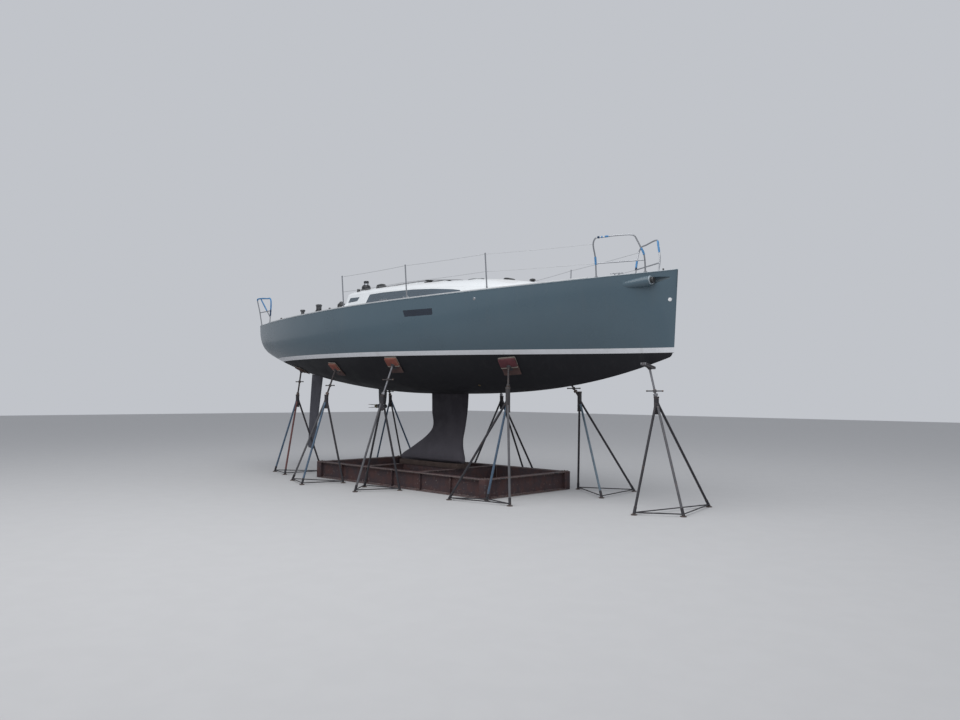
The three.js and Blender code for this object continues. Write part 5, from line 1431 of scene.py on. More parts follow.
def standParts(top, axis, hub, feet, tall=1.81, grip=(1.0, 0.0), rise=0.0):
    # material 0 to 2 the legs, 3 ties and webs, 4 sleeve, 5 screw and nut, 6 grip bar
    f = standForm
    hubPoint = np.array([*hub, f["hub"]])
    parts = []
    for n, (x, y) in enumerate(feet):
        foot = np.array([x, y, 0.02])
        legTop = hubPoint - np.array([0, 0, 0.04])
        along = (foot - legTop) / np.linalg.norm(foot - legTop)
        parts.append((rod(legTop, foot, f["tube"], sides=20), n))
        parts.append((rod(foot - along * 0.115, foot - along * 0.004, 0.024, sides=20), 3))
        parts.append((turned([(0, 0), (0.047, 0), (0.05, 0.003), (0.05, 0.011), (0.047, 0.014),
                              (0.027, 0.016), (0.025, 0.028), (0, 0.03)], (x, y, 0), sides=24), 3))
        nextX, nextY = feet[(n + 1) % len(feet)]
        parts.append((rod((x, y, 0.04), (nextX, nextY, 0.04), f["tie"], sides=10), 3))
        parts.append((rod(legTop + along * 0.02, legTop + along * 0.1, 0.0255, 0.0215, sides=16), 3))
    high = tall - f["hub"] + f["sleeveDrop"]
    r = f["sleeve"]
    sleeve = [(0, 0), (r - 0.003, 0), (r + 0.0035, 0.004), (r + 0.0035, 0.022), (r, 0.026), (r, high - 0.028),
              (r + 0.004, high - 0.024), (r + 0.004, high - 0.006), (r + 0.001, high), (0.021, high),
              (0, high)]
    parts.append((turned(sleeve, hubPoint - np.array([0, 0, f["sleeveDrop"]]), sides=32), 4))
    for z in (-0.215, -0.155):
        across = np.array([0.052, 0, 0])
        parts.append((rod(hubPoint + [0, 0, z] - across, hubPoint + [0, 0, z] + across, 0.007, sides=6), 5))
    top = np.asarray(top, float)
    axis = np.asarray(axis, float)
    screwTop = top - axis * 0.024
    screwAxis = (screwTop - hubPoint) / np.linalg.norm(screwTop - hubPoint)
    parts.append((threaded(hubPoint + screwAxis * 0.02, screwTop, f["screw"], f["pitch"], f["thread"]), 5))
    parts.append((knob([(0.034, 0), (0.036, 0.002), (0.036, 0.034), (0.032, 0.04)],
                       hubPoint + screwAxis * (tall - f["hub"] + 0.006), screwAxis, 6), 5))
    parts.append((knob([(0.023, 0), (0.028, 0.006), (0.034, 0.016), (0.046, 0.027), (0.048, 0.034)],
                       top - axis * 0.034, axis, 28), 3))
    share = max(0.25, rise, (tall - f["hub"] + 0.09) / np.linalg.norm(screwTop - hubPoint))
    middle = hubPoint + (screwTop - hubPoint) * share
    across = np.array([*grip, 0])
    parts.append((knob([(0.026, 0), (0.03, 0.004), (0.03, 0.04), (0.026, 0.044)],
                       middle - screwAxis * 0.022, screwAxis, 24), 6))
    parts.append((rod(middle - across * f["grip"], middle + across * f["grip"], 0.0105, sides=14), 6))
    for end in (-1, 1):
        parts.append((turned([(0, -0.014), (0.009, -0.012), (0.0145, -0.004), (0.0145, 0.004), (0.009, 0.012),
                              (0, 0.014)], middle + across * end * (f["grip"] - 0.004), across, 16), 6))
    return parts


def skinAxes(x, s, side):
    # a point of the skin, then unit axes along the hull, up the skin and outwards
    p = skinAt(x, s)
    along = (skinAt(x + 0.02, s) - p) * np.array([1, side, 1])
    up = (skinAt(x, s + 0.01) - p) * np.array([1, side, 1])
    out = np.cross(along, up)
    out *= side * np.sign(out[1]) / np.linalg.norm(out)
    along /= np.linalg.norm(along)
    return p * np.array([1, side, 1]), along, np.cross(out, along), out


def padParts(row):
    # carpet strip against the hull, thick upper block with an inset face, thin lower flap, the screw's plate
    a, b = row["along"] / 2, row["up"] / 2
    over, under = row.get("over", 0.0), row.get("under", 0.0)
    high = -row["side"]

    def layer(x0, x1, low0, high0, inner, outer, corner, edge, mark):
        y0, y1 = sorted((high * low0, high * high0))
        return block(x0, x1, y0, y1, inner, outer, corner, edge), mark

    parts = [layer(-a, a, 0.0, b + over, 0.0028, 0.013, 0.022, 0.004, 2),
             layer(-a + 0.002, a - 0.006, -0.014, b + over - 0.022, 0.012, 0.04, 0.026, 0.007, 0),
             layer(-a + 0.016, a - 0.02, 0.002, b + over - 0.038, 0.033, 0.0418, 0.018, 0.004, 0),
             layer(-a + 0.004, a - 0.008, -0.032, -0.008, 0.012, 0.0405, 0.008, 0.004, 2),
             layer(-a + 0.006, a, -b - under, 0.01, 0.003, 0.018, 0.012, 0.004, 1),
             layer(-a + 0.02, a - 0.012, -b - under + 0.012, -0.03, 0.017, 0.021, 0.01, 0.002, 1),
             layer(-0.055, 0.055, -0.08, -0.022, 0.017, 0.0425, 0.01, 0.003, 3)]
    for x in (-a + 0.035, a - 0.035):
        for y in (0.006, b + over - 0.056):
            parts.append((knob([(0.009, 0), (0.009, 0.001), (0.005, 0.0022)], (x, high * y, 0.0402),
                               sides=14), 3))
    return parts


def buildStands():
    for row in standRows:
        label = "port" if row["side"] > 0 else "starboard"
        origin, along, up, out = skinAxes(row["x"], row["s"], row["side"])
        parts = [(placed(part, origin, along, up), mark) for part, mark in padParts(row)]
        place = f"{row['name']}_{label}"
        piece(f"pad_{place}", parts, "yacht", f"{row['pad']} padBrown padPale standDark",
              [f"stand_pad_{place}"])
        screw = "galvanised" if row["name"] == "middle" else "standDark"
        sleeve = "standMid" if row["name"] == "forward" else "standDark"
        coats = f"{row['legs']} standDark {sleeve} {screw} standMid"
        parts = standParts(origin + out * 0.043, -out, row["hub"], row["feet"], row.get("tall", 1.81),
                           row.get("grip", (1.0, 0.0)), row.get("rise", 0.0))
        piece(f"screw_stand_{place}", parts, "yacht", coats, [f"stand_{place}"])
    b = bowStand
    contact = float(bottomAt(b["pad"] - b["half"])) - 0.006
    lean = (0, math.cos(b["roll"]), -math.sin(b["roll"]))
    board = block(-b["half"], b["half"], -b["outboard"], b["inboard"], -b["thick"], 0.0, 0.012, 0.004)
    board = placed(board, (b["pad"], 0, contact), (1, 0, 0), lean)
    parts = standParts((b["pad"], -0.08, contact - 0.02), (0, 0, 1), b["hub"], b["feet"])
    coats = b["legs"] + " standDark standDark galvanised standGrey boardGrey"
    piece("screw_stand_bow", parts + [(board, 7)], "yacht", coats, ["stand_bow"])


buildStands()
print("stands built")


# Cradle

cradleForm = dict(aft=2.777, fore=7.928, half=1.189, high=0.349, beam=0.15, web=0.09, crossWeb=0.018,
                  tip=0.017, root=0.027, crossAft=4.3, crossFore=5.95, bedHalf=0.13, bedLow=0.12)


def channelOutline():
    # C section, u outwards from the back of the web: flanges thicker at the web than at the tip
    c = cradleForm
    w, b, h = c["web"], c["beam"], c["high"]
    return rounded([(0, 0), (b, 0), (b, c["tip"]), (w, c["root"]), (w, h - c["root"]), (b, h - c["tip"]),
                    (b, h), (0, h)], 0.007, 4)


def crossOutline():
    c = cradleForm
    b, w, h = c["beam"], c["crossWeb"], c["high"] - 0.0008
    half = [(0, 0.0008), (b, 0.0008), (b, c["tip"]), (b - w, c["root"]), (b - w, h - c["root"]),
            (b, h - c["tip"]), (b, h)]
    return rounded(half + [(0, h), (0, h - c["tip"]), (w, h - c["root"]), (w, c["root"]), (0, c["tip"])],
                   0.006, 4)


def buildCradle():
    c = cradleForm
    inner = c["half"] - c["beam"]
    low, high = c["aft"] + c["beam"], c["fore"] - c["beam"]
    up = (0, 0, 1)
    side = slab(channelOutline(), 0, high - low, 0.003)
    end = slab(channelOutline(), 0, 2 * inner, 0.003)
    cross = slab(crossOutline(), 0, 2 * inner, 0.003)
    parts = [placed(side, (low, inner, 0), (0, 1, 0), up), placed(side, (high, -inner, 0), (0, -1, 0), up),
             placed(end, (low, -inner, 0), (-1, 0, 0), up), placed(end, (high, inner, 0), (1, 0, 0), up)]
    parts += [placed(cross, (x + c["beam"], -inner, 0), (-1, 0, 0), up)
              for x in (c["crossAft"], c["crossFore"])]
    parts.append(block(c["crossAft"] + c["beam"] - 0.001, c["crossFore"] + 0.001, -c["bedHalf"], c["bedHalf"],
                       c["bedLow"], c["high"] - 0.0012, 0.004, 0.004))
    parts = [(part, 0) for part in parts]
    for x in (c["aft"], high):
        for hand in (1, -1):
            y0, y1 = sorted((hand * inner, hand * c["half"]))
            parts.append((block(x, x + c["beam"], y0, y1, 0, c["high"], 0.005, 0.004), 0))
            parts.append((block(x + 0.012, x + c["beam"] - 0.012, y0 + 0.012, y1 - 0.012, c["high"] - 0.0005,
                                c["high"] + 0.0075, 0.012, 0.002), 0))
            for dx in (0.04, 0.11):
                for dy in (0.04, 0.11):
                    parts.append((knob([(0.012, 0), (0.012, 0.009), (0.008, 0.012)],
                                       (x + dx, y0 + dy, c["high"] + 0.007), sides=6), 1))
    for hand in (1, -1):
        for x in np.linspace(c["aft"] + 0.9, c["fore"] - 0.9, 5):
            y0, y1 = sorted((hand * (inner + c["web"] - 0.002), hand * (c["half"] - 0.008)))
            parts.append((block(x - 0.006, x + 0.006, y0, y1, 0.019, c["high"] - 0.019, 0.004, 0.002), 0))
        for x in (c["crossAft"], c["crossFore"]):
            for edge in (x + 0.002, x + c["beam"] - 0.002):
                parts.append((rod((edge, hand * (inner - 0.001), 0.012),
                                  (edge, hand * (inner - 0.001), c["high"] - 0.006), 0.005, sides=8), 0))
        for x, outward in ((c["aft"], -1), (c["fore"], 1)):
            turn = np.linspace(0, np.pi, 18)
            loop = np.stack([x + outward * (0.045 * np.sin(turn) - 0.004), hand * 0.75 + 0.045 * np.cos(turn),
                             0 * turn + 0.34], 1)
            parts.append((sweep(loop, 0.009, 12), 1))
    piece("cradle_beams", parts, "yacht", "rust standDark", ["cradle_frame"])
    planks = [block(4.35 + 0.004 * n, 6.16 - 0.006 * (n % 2), y, y + 0.0975, 0.3493, 0.4455, 0.006, 0.004)
              for n, y in enumerate((-0.1495, -0.0488, 0.052))]
    bolts = [knob([(0.014, 0), (0.014, 0.004), (0.009, 0.007)], (x, 0.125, 0.4455), sides=6)
             for x in (4.52, 5.98)]
    piece("keel_planks", marked(planks, bolts), "yacht", "timber standDark", ["keel_bed"])


buildCradle()
print("cradle built")


# Winches, clutches, lines and the mast's place

winchForms = dict(
    winch_primary=dict(skirt=[(0.071, 0), (0.074, 0.003), (0.074, 0.016), (0.066, 0.026), (0.06, 0.032),
                              (0.0585, 0.042), (0.058, 0.098), (0.063, 0.105), (0.067, 0.11)],
                       neck=[(0.052, 0.109), (0.05, 0.114), (0.052, 0.119)],
                       cap=[(0.066, 0.118), (0.07, 0.122), (0.07, 0.138), (0.062, 0.146), (0.05, 0.152)]),
    winch_roof=dict(skirt=[(0.088, 0), (0.092, 0.003), (0.098, 0.012), (0.097, 0.034), (0.091, 0.056),
                           (0.08, 0.074), (0.066, 0.086), (0.056, 0.09)],
                    neck=[(0.053, 0.089), (0.05, 0.096), (0.047, 0.112), (0.046, 0.128)],
                    cap=[(0.05, 0.127), (0.055, 0.133), (0.056, 0.142), (0.056, 0.166), (0.05, 0.173),
                         (0.04, 0.178)]),
    winch_aft=dict(skirt=[(0.049, 0), (0.052, 0.003), (0.052, 0.01), (0.044, 0.015), (0.038, 0.018),
                          (0.0365, 0.028), (0.036, 0.064), (0.045, 0.073), (0.055, 0.078)],
                   neck=[(0.044, 0.077), (0.042, 0.082), (0.044, 0.087)],
                   cap=[(0.054, 0.086), (0.058, 0.09), (0.058, 0.11), (0.05, 0.117), (0.04, 0.122)]),
)


def winchParts(row, foot):
    # dark skirt, bright neck of the self tailing jaws and a dark cap with the handle's socket
    form = winchForms[row["name"]]
    h = row["high"]
    rims = [form["skirt"], form["neck"], form["cap"] + [(0.016, h), (0.0125, h), (0.011, h - 0.004)]]
    parts = [(knob(rim, foot, sides=56), n) for n, rim in enumerate(rims)]
    r, low, high = row["grip"], row["gripLow"], row["gripHigh"]
    for a in circle(16):
        at = np.array(foot) + [r * math.cos(a), r * math.sin(a), 0]
        parts.append((rod(at + [0, 0, low], at + [0, 0, high], 0.0022, sides=6), 0))
    return parts


def buildWinches():
    for row in winchRows:
        for label, side in hands:
            foot = (row["x"], side * row["y"], row["foot"] + 0.005)
            piece(f"{row['name']}_drum_{label}", winchParts(row, foot), f"{row['name']}_{label}",
                  "winchBlack steel winchBlack", [f"{row['name']}_{label}"],
                  30)
            x, y, z = foot
            z, tip, r = z + row["high"], x + row["top"] + 0.01, row["pad"]
            arm = block(x - 0.012, tip, y - 0.011, y + 0.011, z - 0.0085, z - 0.0035, 0.01, 0.0015)
            rows = [(r + 0.012, -0.03), (r + 0.004, -0.006), (r + 0.002, 0.0006)]
            plinth = knob(rows, (x, y, row["foot"]), sides=48)
            piece(f"{row['name']}_plinth_{label}", [arm, plinth], "yacht", "black")


clutchForm = dict(y=0.64, count=3, pitch=0.036, width=0.031, organiserX=5.55, organiserY=0.42, mastY=0.155)
clutchOutline = [(4.157, 4.062), (4.157, 4.116), (4.172, 4.143), (4.204, 4.153), (4.345, 4.151),
                 (4.383, 4.134), (4.386, 4.062)]
clutchLever = [(4.172, 4.132), (4.166, 4.15), (4.184, 4.165), (4.3, 4.173), (4.35, 4.171), (4.356, 4.156),
               (4.3, 4.152), (4.204, 4.144)]


def buildClutches():
    f = clutchForm
    for label, side in hands:
        z = float(roofTop(4.3, f["y"]))
        middle, half = side * f["y"], f["width"] / 2
        parts = [(block(4.15, 4.39, middle - 0.056, middle + 0.056, z - 0.02, z + 0.006, 0.012, 0.002), 0)]
        for n in range(f["count"]):
            y = middle + (n - (f["count"] - 1) / 2) * f["pitch"]
            parts.append((sideSlab(rounded(clutchOutline, 0.01, 5), y - half, y + half), 0))
            parts.append((sideSlab(rounded(clutchLever, 0.006, 4), y - 0.011, y + 0.011), 1))
            parts.append((rod((4.182, y - 0.0165, 4.138), (4.182, y + 0.0165, 4.138), 0.005, sides=14), 2))
            for x in (4.156, 4.3845):
                parts.append((knob([(0.009, 0), (0.008, 0.003), (0.005, 0.003), (0.004, 0.0015)],
                                   (x, y, 4.095), (1 if x > 4.2 else -1, 0, 0), 16), 2))
        piece(f"rope_clutches_{label}", parts, "yacht", "black clutchGrey steel",
              [f"clutches_{label}"], 30)
        lines = []
        for n in range(f["count"]):
            y = middle + (n - (f["count"] - 1) / 2) * f["pitch"]
            yTurn = side * f["organiserY"] + (n - 1) * f["pitch"]
            yMast = side * f["mastY"] + (n - 1) * 0.012
            knots = [(4.38, y, 4.096), (4.52, y + (yTurn - y) * 0.14, 4.106),
                     (5.0, y + (yTurn - y) * 0.6, 4.137), (5.492, yTurn, 4.152), (5.58, yTurn, 4.15),
                     (5.96, (yTurn + yMast) / 2, 4.134), (6.25, yMast, 4.118), (6.285, yMast, 4.1)]
            lines.append(sweep(smoothPath(knots, 60), 0.0035, 8))
        piece(f"control_lines_{label}", lines, "yacht", "rope", angle=60)
        x, y = f["organiserX"], side * f["organiserY"]
        z = float(roofTop(x, f["organiserY"]))
        case = [block(5.485, 5.615, y - 0.08, y + 0.08, z - 0.01, z + 0.012, 0.02, 0.003),
                block(5.49, 5.61, y - 0.078, y + 0.078, z + 0.034, z + 0.046, 0.03, 0.004)]
        sheaves = [rod((x, y + dy, z), (x, y + dy, z + 0.04), 0.019, sides=24)
                   for dy in (-0.054, -0.018, 0.018, 0.054)]
        piece(f"deck_organiser_{label}", marked(case, sheaves), "yacht", "black clutchGrey")


def buildMastPlace():
    m = mastPlace
    oval = mastOval(0, 64)
    ring = slab(oval, m["seat"] + 0.0003, m["top"], 0.006, 4)
    cover = slab(inset(oval, 0.03), m["top"] - 0.004, m["top"] + 0.0025, 0.003)
    bolts = [turned([(0, 0), (0.007, 0), (0.006, 0.003), (0, 0.004)],
                    (m["x"] + 0.185 * math.cos(a), 0.107 * math.sin(a), m["top"]), sides=12)
             for a in np.linspace(0.4, 2 * np.pi + 0.4, 8, endpoint=False)]
    piece("mast_cover", marked([ring], [cover], bolts), "yacht",
          "alloy gelcoat steel", ["mast_collar"])


buildWinches()
buildClutches()
buildMastPlace()
print("winches and clutches built")


# Helm, traveller and engine

# height, half length, half width
pedestalRows = [(2.9903, 0.14, 0.13), (3.002, 0.14, 0.13), (3.012, 0.132, 0.123), (3.05, 0.11, 0.105),
                (3.25, 0.094, 0.089), (3.6, 0.08, 0.075), (3.8, 0.092, 0.084), (3.9, 0.101, 0.09),
                (3.955, 0.104, 0.092), (3.985, 0.098, 0.088), (3.996, 0.088, 0.08), (4.0, 0.076, 0.07)]
helm = dict(
    x=1.921, hubHigh=3.83, bolt=[(0, 0), (0.007, 0), (0.006, 0.004), (0, 0.005)],
    compass=[(0.066, 0), (0.066, 0.01), (0.06, 0.016), (0.057, 0.018)],
    leverKnob=[(0, -0.016), (0.012, -0.012), (0.016, 0), (0.012, 0.012), (0, 0.016)],
    boss=[(0.058, 0), (0.058, 0.01), (0.05, 0.016)],
    hub=[(0.043, 0), (0.045, 0.003), (0.045, 0.026), (0.04, 0.034), (0.026, 0.04), (0.022, 0.042),
         (0.022, 0.048), (0.0195, 0.05), (0.0195, 0.066), (0.016, 0.0695)],
)


def buildHelm():
    c = helm
    rows = np.array(pedestalRows)
    z = np.concatenate([rows[:3, 0], np.linspace(3.02, 3.95, 40), rows[-4:, 0]])
    along, across = through(rows[:, 0], rows[:, 1:], z).T
    turn = circle(48)
    column = gridPart(np.stack([c["x"] + along[:, None] * np.cos(turn), across[:, None] * np.sin(turn),
                                np.broadcast_to(z[:, None], (len(z), 48))], -1))
    compass = knob(c["compass"], (c["x"], 0, 3.998), sides=40)
    dome = [(0.055 * math.cos(a), 0.04 * math.sin(a)) for a in np.linspace(0.05, np.pi / 2, 10)]
    dome = turned([(0.055, 0.0)] + dome, (c["x"], 0, 4.015), sides=40)
    lever = [rod((1.9, -0.085, 3.72), (1.9, -0.125, 3.72), 0.016, sides=20),
             rod((1.9, -0.12, 3.72), (1.93, -0.124, 3.86), 0.007, 0.006, sides=12),
             turned(c["leverKnob"], (1.932, -0.124, 3.868), sides=16)]
    bolts = [turned(c["bolt"], (c["x"] + 0.118 * math.cos(a), 0.11 * math.sin(a), 3.012), sides=12)
             for a in np.linspace(0.4, 2 * np.pi + 0.4, 6, endpoint=False)]
    boss = knob(c["boss"], (1.835, 0, c["hubHigh"]), (-1, 0, 0), 32)
    piece("pedestal_column", [(column, 0), (compass, 0), (dome, 1), (boss, 0)]
          + [(p, 2) for p in lever + bolts], "yacht", "black acrylic steel", ["helm_pedestal"])
    hub = knob(c["hub"], (1.819, 0, c["hubHigh"]), (-1, 0, 0), 40)
    keyway = block(1.752, 1.775, -0.003, 0.003, 3.848, 3.852, 0.002, 0.001)
    hubNut = knob([(0.0205, 0), (0.0205, 0.012)], (1.768, 0, c["hubHigh"]), (-1, 0, 0), 6)
    piece("wheel_boss", [hub, keyway, hubNut], "helm", "steel", ["helm_hub"])


traveller = dict(
    x=2.25, carHalf=0.068, carTop=3.046,
    cheeks=[(2.193, 2.219, 2.998, 0.003), (2.281, 2.307, 2.998, 0.003), (2.193, 2.307, 3.028, 0.004)],
    sheave=[(0.02, 0), (0.02, 0.003), (0.015, 0.008), (0.02, 0.013), (0.02, 0.016)],
    rail=[(2.232, 2.988), (2.268, 2.988), (2.268, 3.004), (2.258, 3.006), (2.256, 3.012), (2.268, 3.014),
          (2.268, 3.02), (2.232, 3.02), (2.232, 3.014), (2.244, 3.012), (2.242, 3.006), (2.232, 3.004)],
)


def buildTraveller():
    c = traveller
    rail = sideSlab(rounded(c["rail"], 0.0015), -0.352, 0.352, 0.001)
    ends = [spanBlock(2.226, 2.274, 0.353, 0.369, 2.988, 3.052, side, 0.007, 0.003) for side in (1, -1)]
    piece("traveller_track", marked([rail], ends), "yacht", "alloy black")
    y, top = c["carHalf"], c["carTop"]
    cheeks = [block(x0, x1, -y, y, low, top, 0.012, edge) for x0, x1, low, edge in c["cheeks"]]
    sheaves = [knob(c["sheave"], (c["x"], y, 3.044), sides=32) for y in (-0.042, 0.042)]
    turn = np.linspace(0, np.pi, 24)
    shackle = sweep(np.stack([0 * turn + c["x"], 0.016 * np.cos(turn), 3.044 + 0.03 * np.sin(turn)], 1),
                    0.004, 12)
    piece("traveller_car", marked(cheeks, sheaves, [shackle]), "mainsheet_car", "black clutchGrey steel",
          ["mainsheet_car"])


engine = dict(
    blocks=[(3.765, 4.455, -0.245, 0.245, 2.2166, 2.3, 0.02, 0.01, 1),
            (3.86, 4.4, -0.15, 0.15, 2.29, 2.52, 0.03, 0.015, 0),
            (3.88, 4.38, -0.13, 0.13, 2.51, 2.66, 0.03, 0.012, 0),
            (3.9, 4.36, -0.085, 0.085, 2.65, 2.73, 0.04, 0.018, 0),
            (3.94, 4.32, 0.12, 0.185, 2.56, 2.64, 0.03, 0.015, 1)],
    drums=[((4.4, 0, 2.4), (4.44, 0, 2.4), 0.085, 36), ((4.4, -0.13, 2.62), (4.44, -0.13, 2.62), 0.045, 30),
           ((4.25, -0.19, 2.62), (4.43, -0.19, 2.62), 0.055, 30),
           ((3.99, 0, 2.72), (3.99, 0, 2.76), 0.03, 24), ((3.77, 0, 2.42), (3.88, 0, 2.42), 0.125, 40)],
    hose=[(3.9, 0.15, 2.6), (3.84, 0.2, 2.64), (3.8, 0.21, 2.55), (3.79, 0.21, 2.4)],
)
stepString = [(3.645, 3.3), (3.7, 3.3), (4.06, 2.96), (4.06, 2.82), (4.01, 2.82), (3.645, 3.18)]


def buildEngine():
    # blocks: x, y and z from and to, corner, edge and finish; drums: both ends, radius, sides
    c = engine
    parts = [(block(*row[:-1]), row[-1]) for row in c["blocks"]]
    parts += [(rod(low, high, radius, sides=sides), 1) for low, high, radius, sides in c["drums"]]
    parts.append((sweep(smoothPath(c["hose"], 30), 0.03, 16), 1))
    parts += [(rod((x, -0.17, 2.54), (x, -0.13, 2.7), 0.007, sides=10), 2)
              for x in (3.92 + 0.13 * n for n in range(3))]
    piece("engine_unit", parts, "yacht", "engineRed black steel", ["engine_block"])
    treads = [block(3.66 + x, 3.88 + x, -0.24, 0.24, 3.2 - z, 3.225 - z, 0.02, 0.004)
              for x, z in ((0, 0), (0.15, 0.2))]
    strings = [sideSlab(rounded(stepString, 0.02), *sorted((side * 0.24, side * 0.262))) for side in (1, -1)]
    posts = [spanBlock(4.015, 4.055, 0.265, 0.285, 2.2166, 2.85, side, 0.004, 0.002) for side in (1, -1)]
    piece("companion_steps", treads + strings + posts, "yacht", "joinery")


buildHelm()
buildTraveller()
buildEngine()
print("helm and engine built")


# Deck fittings

def onDeck(x, y, up=0.0):
    return np.array([x, y, float(deckAt(x, y)) + up])


fittings = dict(
    # x, y and turn of each cleat, and the horn's points along and over its base
    cleats=[(10.05, 0.3, 0.28), (5.6, 1.64, 0.0), (0.42, 1.02, -0.06)],
    horn=[(-0.115, 0.04), (-0.07, 0.046), (0.07, 0.046), (0.115, 0.04)],
    leadPulley=[(0.022, 0), (0.022, 0.004), (0.015, 0.01), (0.022, 0.016), (0.022, 0.02)],
    pulley=[(0.024, 0), (0.024, 0.005), (0.017, 0.012), (0.024, 0.019), (0.024, 0.024)],
    gauge=[(0, 0), (0.04, 0), (0.04, 0.01), (0.036, 0.016), (0.036, 0.052), (0.03, 0.062), (0, 0.066)],
    vent=[(0, 0), (0.036, 0), (0.036, 0.02), (0.06, 0.026), (0.058, 0.04), (0.044, 0.054), (0.02, 0.061),
          (0, 0.062)],
    wedge=[(7.305, 4.02), (7.312, 4.046), (7.345, 4.06), (7.42, 4.052), (7.462, 4.032), (7.465, 4.005)],
    disc=[(0, 0), (0.026, 0), (0.026, 0.003), (0.021, 0.006), (0.013, 0.006), (0.011, 0.002), (0, 0.002)],
    spot=[(0, 0), (0.03, 0), (0.03, 0.004), (0.025, 0.007), (0, 0.008)],
    # y and radius of each outlet in the transom; x, share of the height, side and radius of each sea cock
    outlets=[(0.3, 0.036), (-0.52, 0.016), (0.52, 0.016)],
    seaCocks=[(3.2, 0.06, -1, 0.024), (4.9, 0.05, 1, 0.022), (7.15, 0.08, -1, 0.026), (6.7, 0.06, 1, 0.02),
              (2.6, 0.1, 1, 0.022)],
)


def skinDisc(x, s, side, rows, sides=28):
    origin, _, _, out = skinAxes(x, s, side)
    return turned(rows, origin - out * 0.002, out, sides)


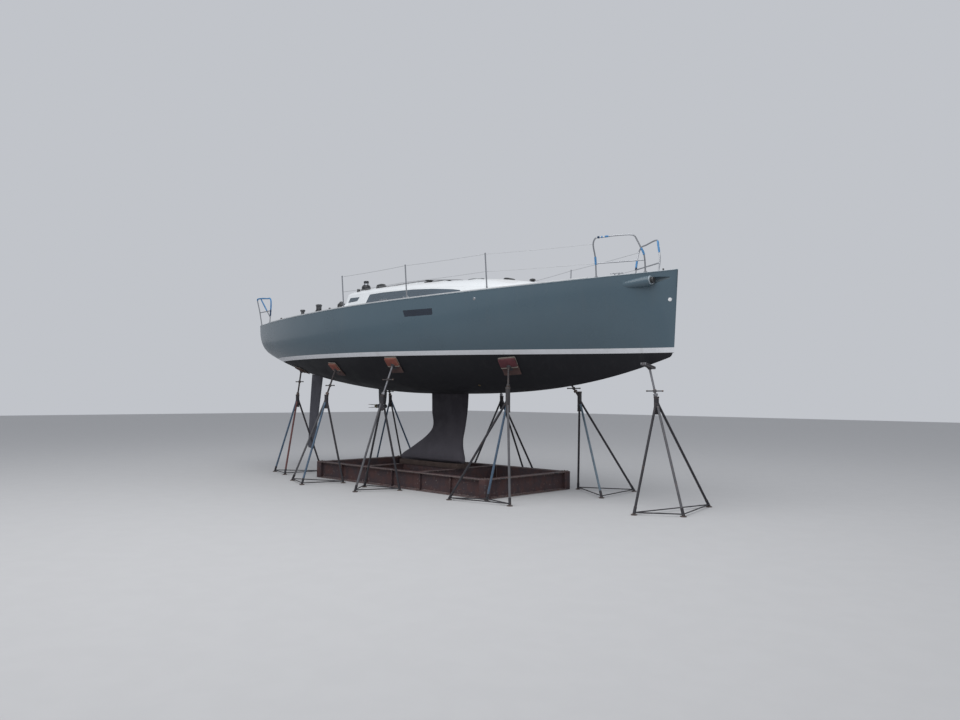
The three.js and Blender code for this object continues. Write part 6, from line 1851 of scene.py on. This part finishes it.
def buildFittings():
    c = fittings
    steel = []
    black = []
    for side in (1, -1):
        outward = (0, side, 0)
        for x, y, turn in c["cleats"]:
            base = onDeck(x, side * y)
            along = np.array([math.cos(turn), -side * math.sin(turn), 0])
            horn = [base + along * d + [0, 0, h] for d, h in c["horn"]]
            steel.append(sweep(smoothPath(horn, 20), np.array([0.004] + [0.009] * 18 + [0.004]), 12))
            for d in (-0.035, 0.035):
                foot = base + along * d
                steel.append(rod(foot - [0, 0, 0.002], foot + [0, 0, 0.045], 0.01, sides=14))
            pad = plate(0.065, 0.02, 0.018, -0.002, 0.006, 0.002)
            steel.append(placed(pad, base, along, (-along[1], along[0], 0)))
        track = [onDeck(x, side * (1.34 - 0.03 * (x - 4.2)), 0.004) for x in np.linspace(4.2, 5.7, 16)]
        profile = [(-0.006, -0.014), (0.006, -0.014), (0.006, 0.014), (-0.006, 0.014)]
        black.append(sweep(np.array(track), 1.0, section=profile, up=(0, 0, 1)))
        car = track[9] + np.array([0, 0, 0.006])
        black.append(placed(plate(0.055, 0.022, 0.01, 0.0, 0.026, 0.004), car, (1, -0.03, 0), (0.03, 1, 0)))
        black.append(knob(c["leadPulley"], car + [0.01, -side * 0.01, 0.05], outward, 28))
        for x in (6.1, 6.2):
            foot = onDeck(x, side * (float(halfBeam(x)) - 0.115), -0.004)
            turn = np.linspace(0, np.pi, 20)
            loop = np.stack([0.022 * np.cos(turn), 0 * turn, 0.02 + 0.036 * np.sin(turn)], 1)
            steel += [sweep(foot + loop, 0.006, 12), moved(plate(0.045, 0.02, 0.016, 0, 0.008, 0.002), foot)]
        for x in (1.55, 3.9, 4.25):
            foot = onDeck(x, side * (float(halfBeam(x)) - 0.085 - 0.03 * (x > 3)))
            black += [moved(plate(0.04, 0.018, 0.016, -0.002, 0.01, 0.002), foot),
                      knob(c["pulley"], foot + [0, -side * 0.012, 0.036], outward, 28)]
        black.append(turned(c["gauge"], (3.752, side * 0.85, 4.03), sides=32))
        for y in (0.66, 0.8):
            black.append(knob([(0.054, 0), (0.054, 0.006), (0.046, 0.01)], (3.6035, side * y, 3.7),
                              (-1, 0, 0), 40))
    black.append(turned(c["vent"], (7.97, 0, float(roofTop(7.97, 0)) - 0.002), sides=36))
    black.append(sideSlab(rounded(c["wedge"], 0.01, 4), -0.085, 0.085, 0.004))
    black.append(rod(onDeck(10.737, 0.0, -0.004), (10.737, 0.0, 3.868), 0.013, sides=18))
    black.append(knob([(0.034, 0), (0.034, 0.004), (0.016, 0.008)], onDeck(10.737, 0.0, -0.001), sides=24))
    steel.append(skinDisc(7.72, 0.925, -1, c["disc"]))
    for y, r in c["outlets"]:
        rows = [(r, 0), (r, 0.004), (r - 0.005, 0.008), (r - 0.008, 0.008), (r - 0.01, 0.001)]
        steel.append(knob(rows, (0.032, y, 2.8), (-1, 0, 0), 32))
    sea = [skinDisc(x, s, side, [(0, 0), (r, 0), (r, 0.003), (r - 0.006, 0.008), (r - 0.01, 0.008),
                                 (r - 0.012, 0.001), (0, 0.001)]) for x, s, side, r in c["seaCocks"]]
    piece("deck_steelwork", steel, "yacht", "steel")
    piece("deck_blacks", black, "yacht", "black")
    piece("hull_spot", [skinDisc(10.911, 0.667, -1, c["spot"])], "yacht", "whitePlastic")
    piece("skin_fittings", sea, "yacht", "bronze")


buildFittings()
print("fittings built")


# Camera, light and floor

cameraPlace = dict(x=17.346, y=-10.89, z=1.783, heading=44.586, pitch=2.722, roll=0.401, focal=29.1,
                   sensor=36.0)


def buildStage():
    c = cameraPlace
    lens = bpy.data.cameras.new("camera")
    lens.lens = c["focal"]
    lens.sensor_width = c["sensor"]
    lens.clip_end = 500
    camera = added("camera", lens)
    bpy.context.scene.camera = camera
    heading, pitch, roll = [math.radians(c[key]) for key in ("heading", "pitch", "roll")]
    ahead = np.array([-math.sin(heading) * math.cos(pitch), math.cos(heading) * math.cos(pitch),
                      math.sin(pitch)])
    right = np.array([math.cos(heading), math.sin(heading), 0])
    up = np.cross(right, ahead)
    matrix = np.eye(4)
    matrix[:3, 0] = math.cos(roll) * right + math.sin(roll) * up
    matrix[:3, 1] = -math.sin(roll) * right + math.cos(roll) * up
    matrix[:3, 2] = -ahead
    matrix[:3, 3] = (c["x"] + sternX, c["y"], c["z"])
    camera.matrix_world = Matrix(matrix.tolist())

    floor = added("floor", bpy.data.meshes.new("floor"))
    corners = [(-60, -60), (60, -60), (60, 60), (-60, 60)]
    floor.data.from_pydata([(x, y, -0.001) for x, y in corners], [], [(0, 1, 2, 3)])
    floor.data.materials.append(finish("floorPale", (0.5, 0.5, 0.505), (0.485, 0.485, 0.49), rough=0.95))

    world = bpy.data.worlds.new("studio")
    world.use_nodes = True
    world.node_tree.nodes["Background"].inputs["Color"].default_value = (0.86, 0.89, 0.95, 1)
    world.node_tree.nodes["Background"].inputs["Strength"].default_value = 0.62
    bpy.context.scene.world = world
    key = added("key", bpy.data.lights.new("key", "AREA"))
    key.data.energy = 1500
    key.data.size = 14
    key.location = (4, -7, 13)
    key.rotation_euler = (math.radians(28), math.radians(14), 0)
    bpy.context.scene.view_settings.view_transform = "Standard"


buildStage()
print("stage set")
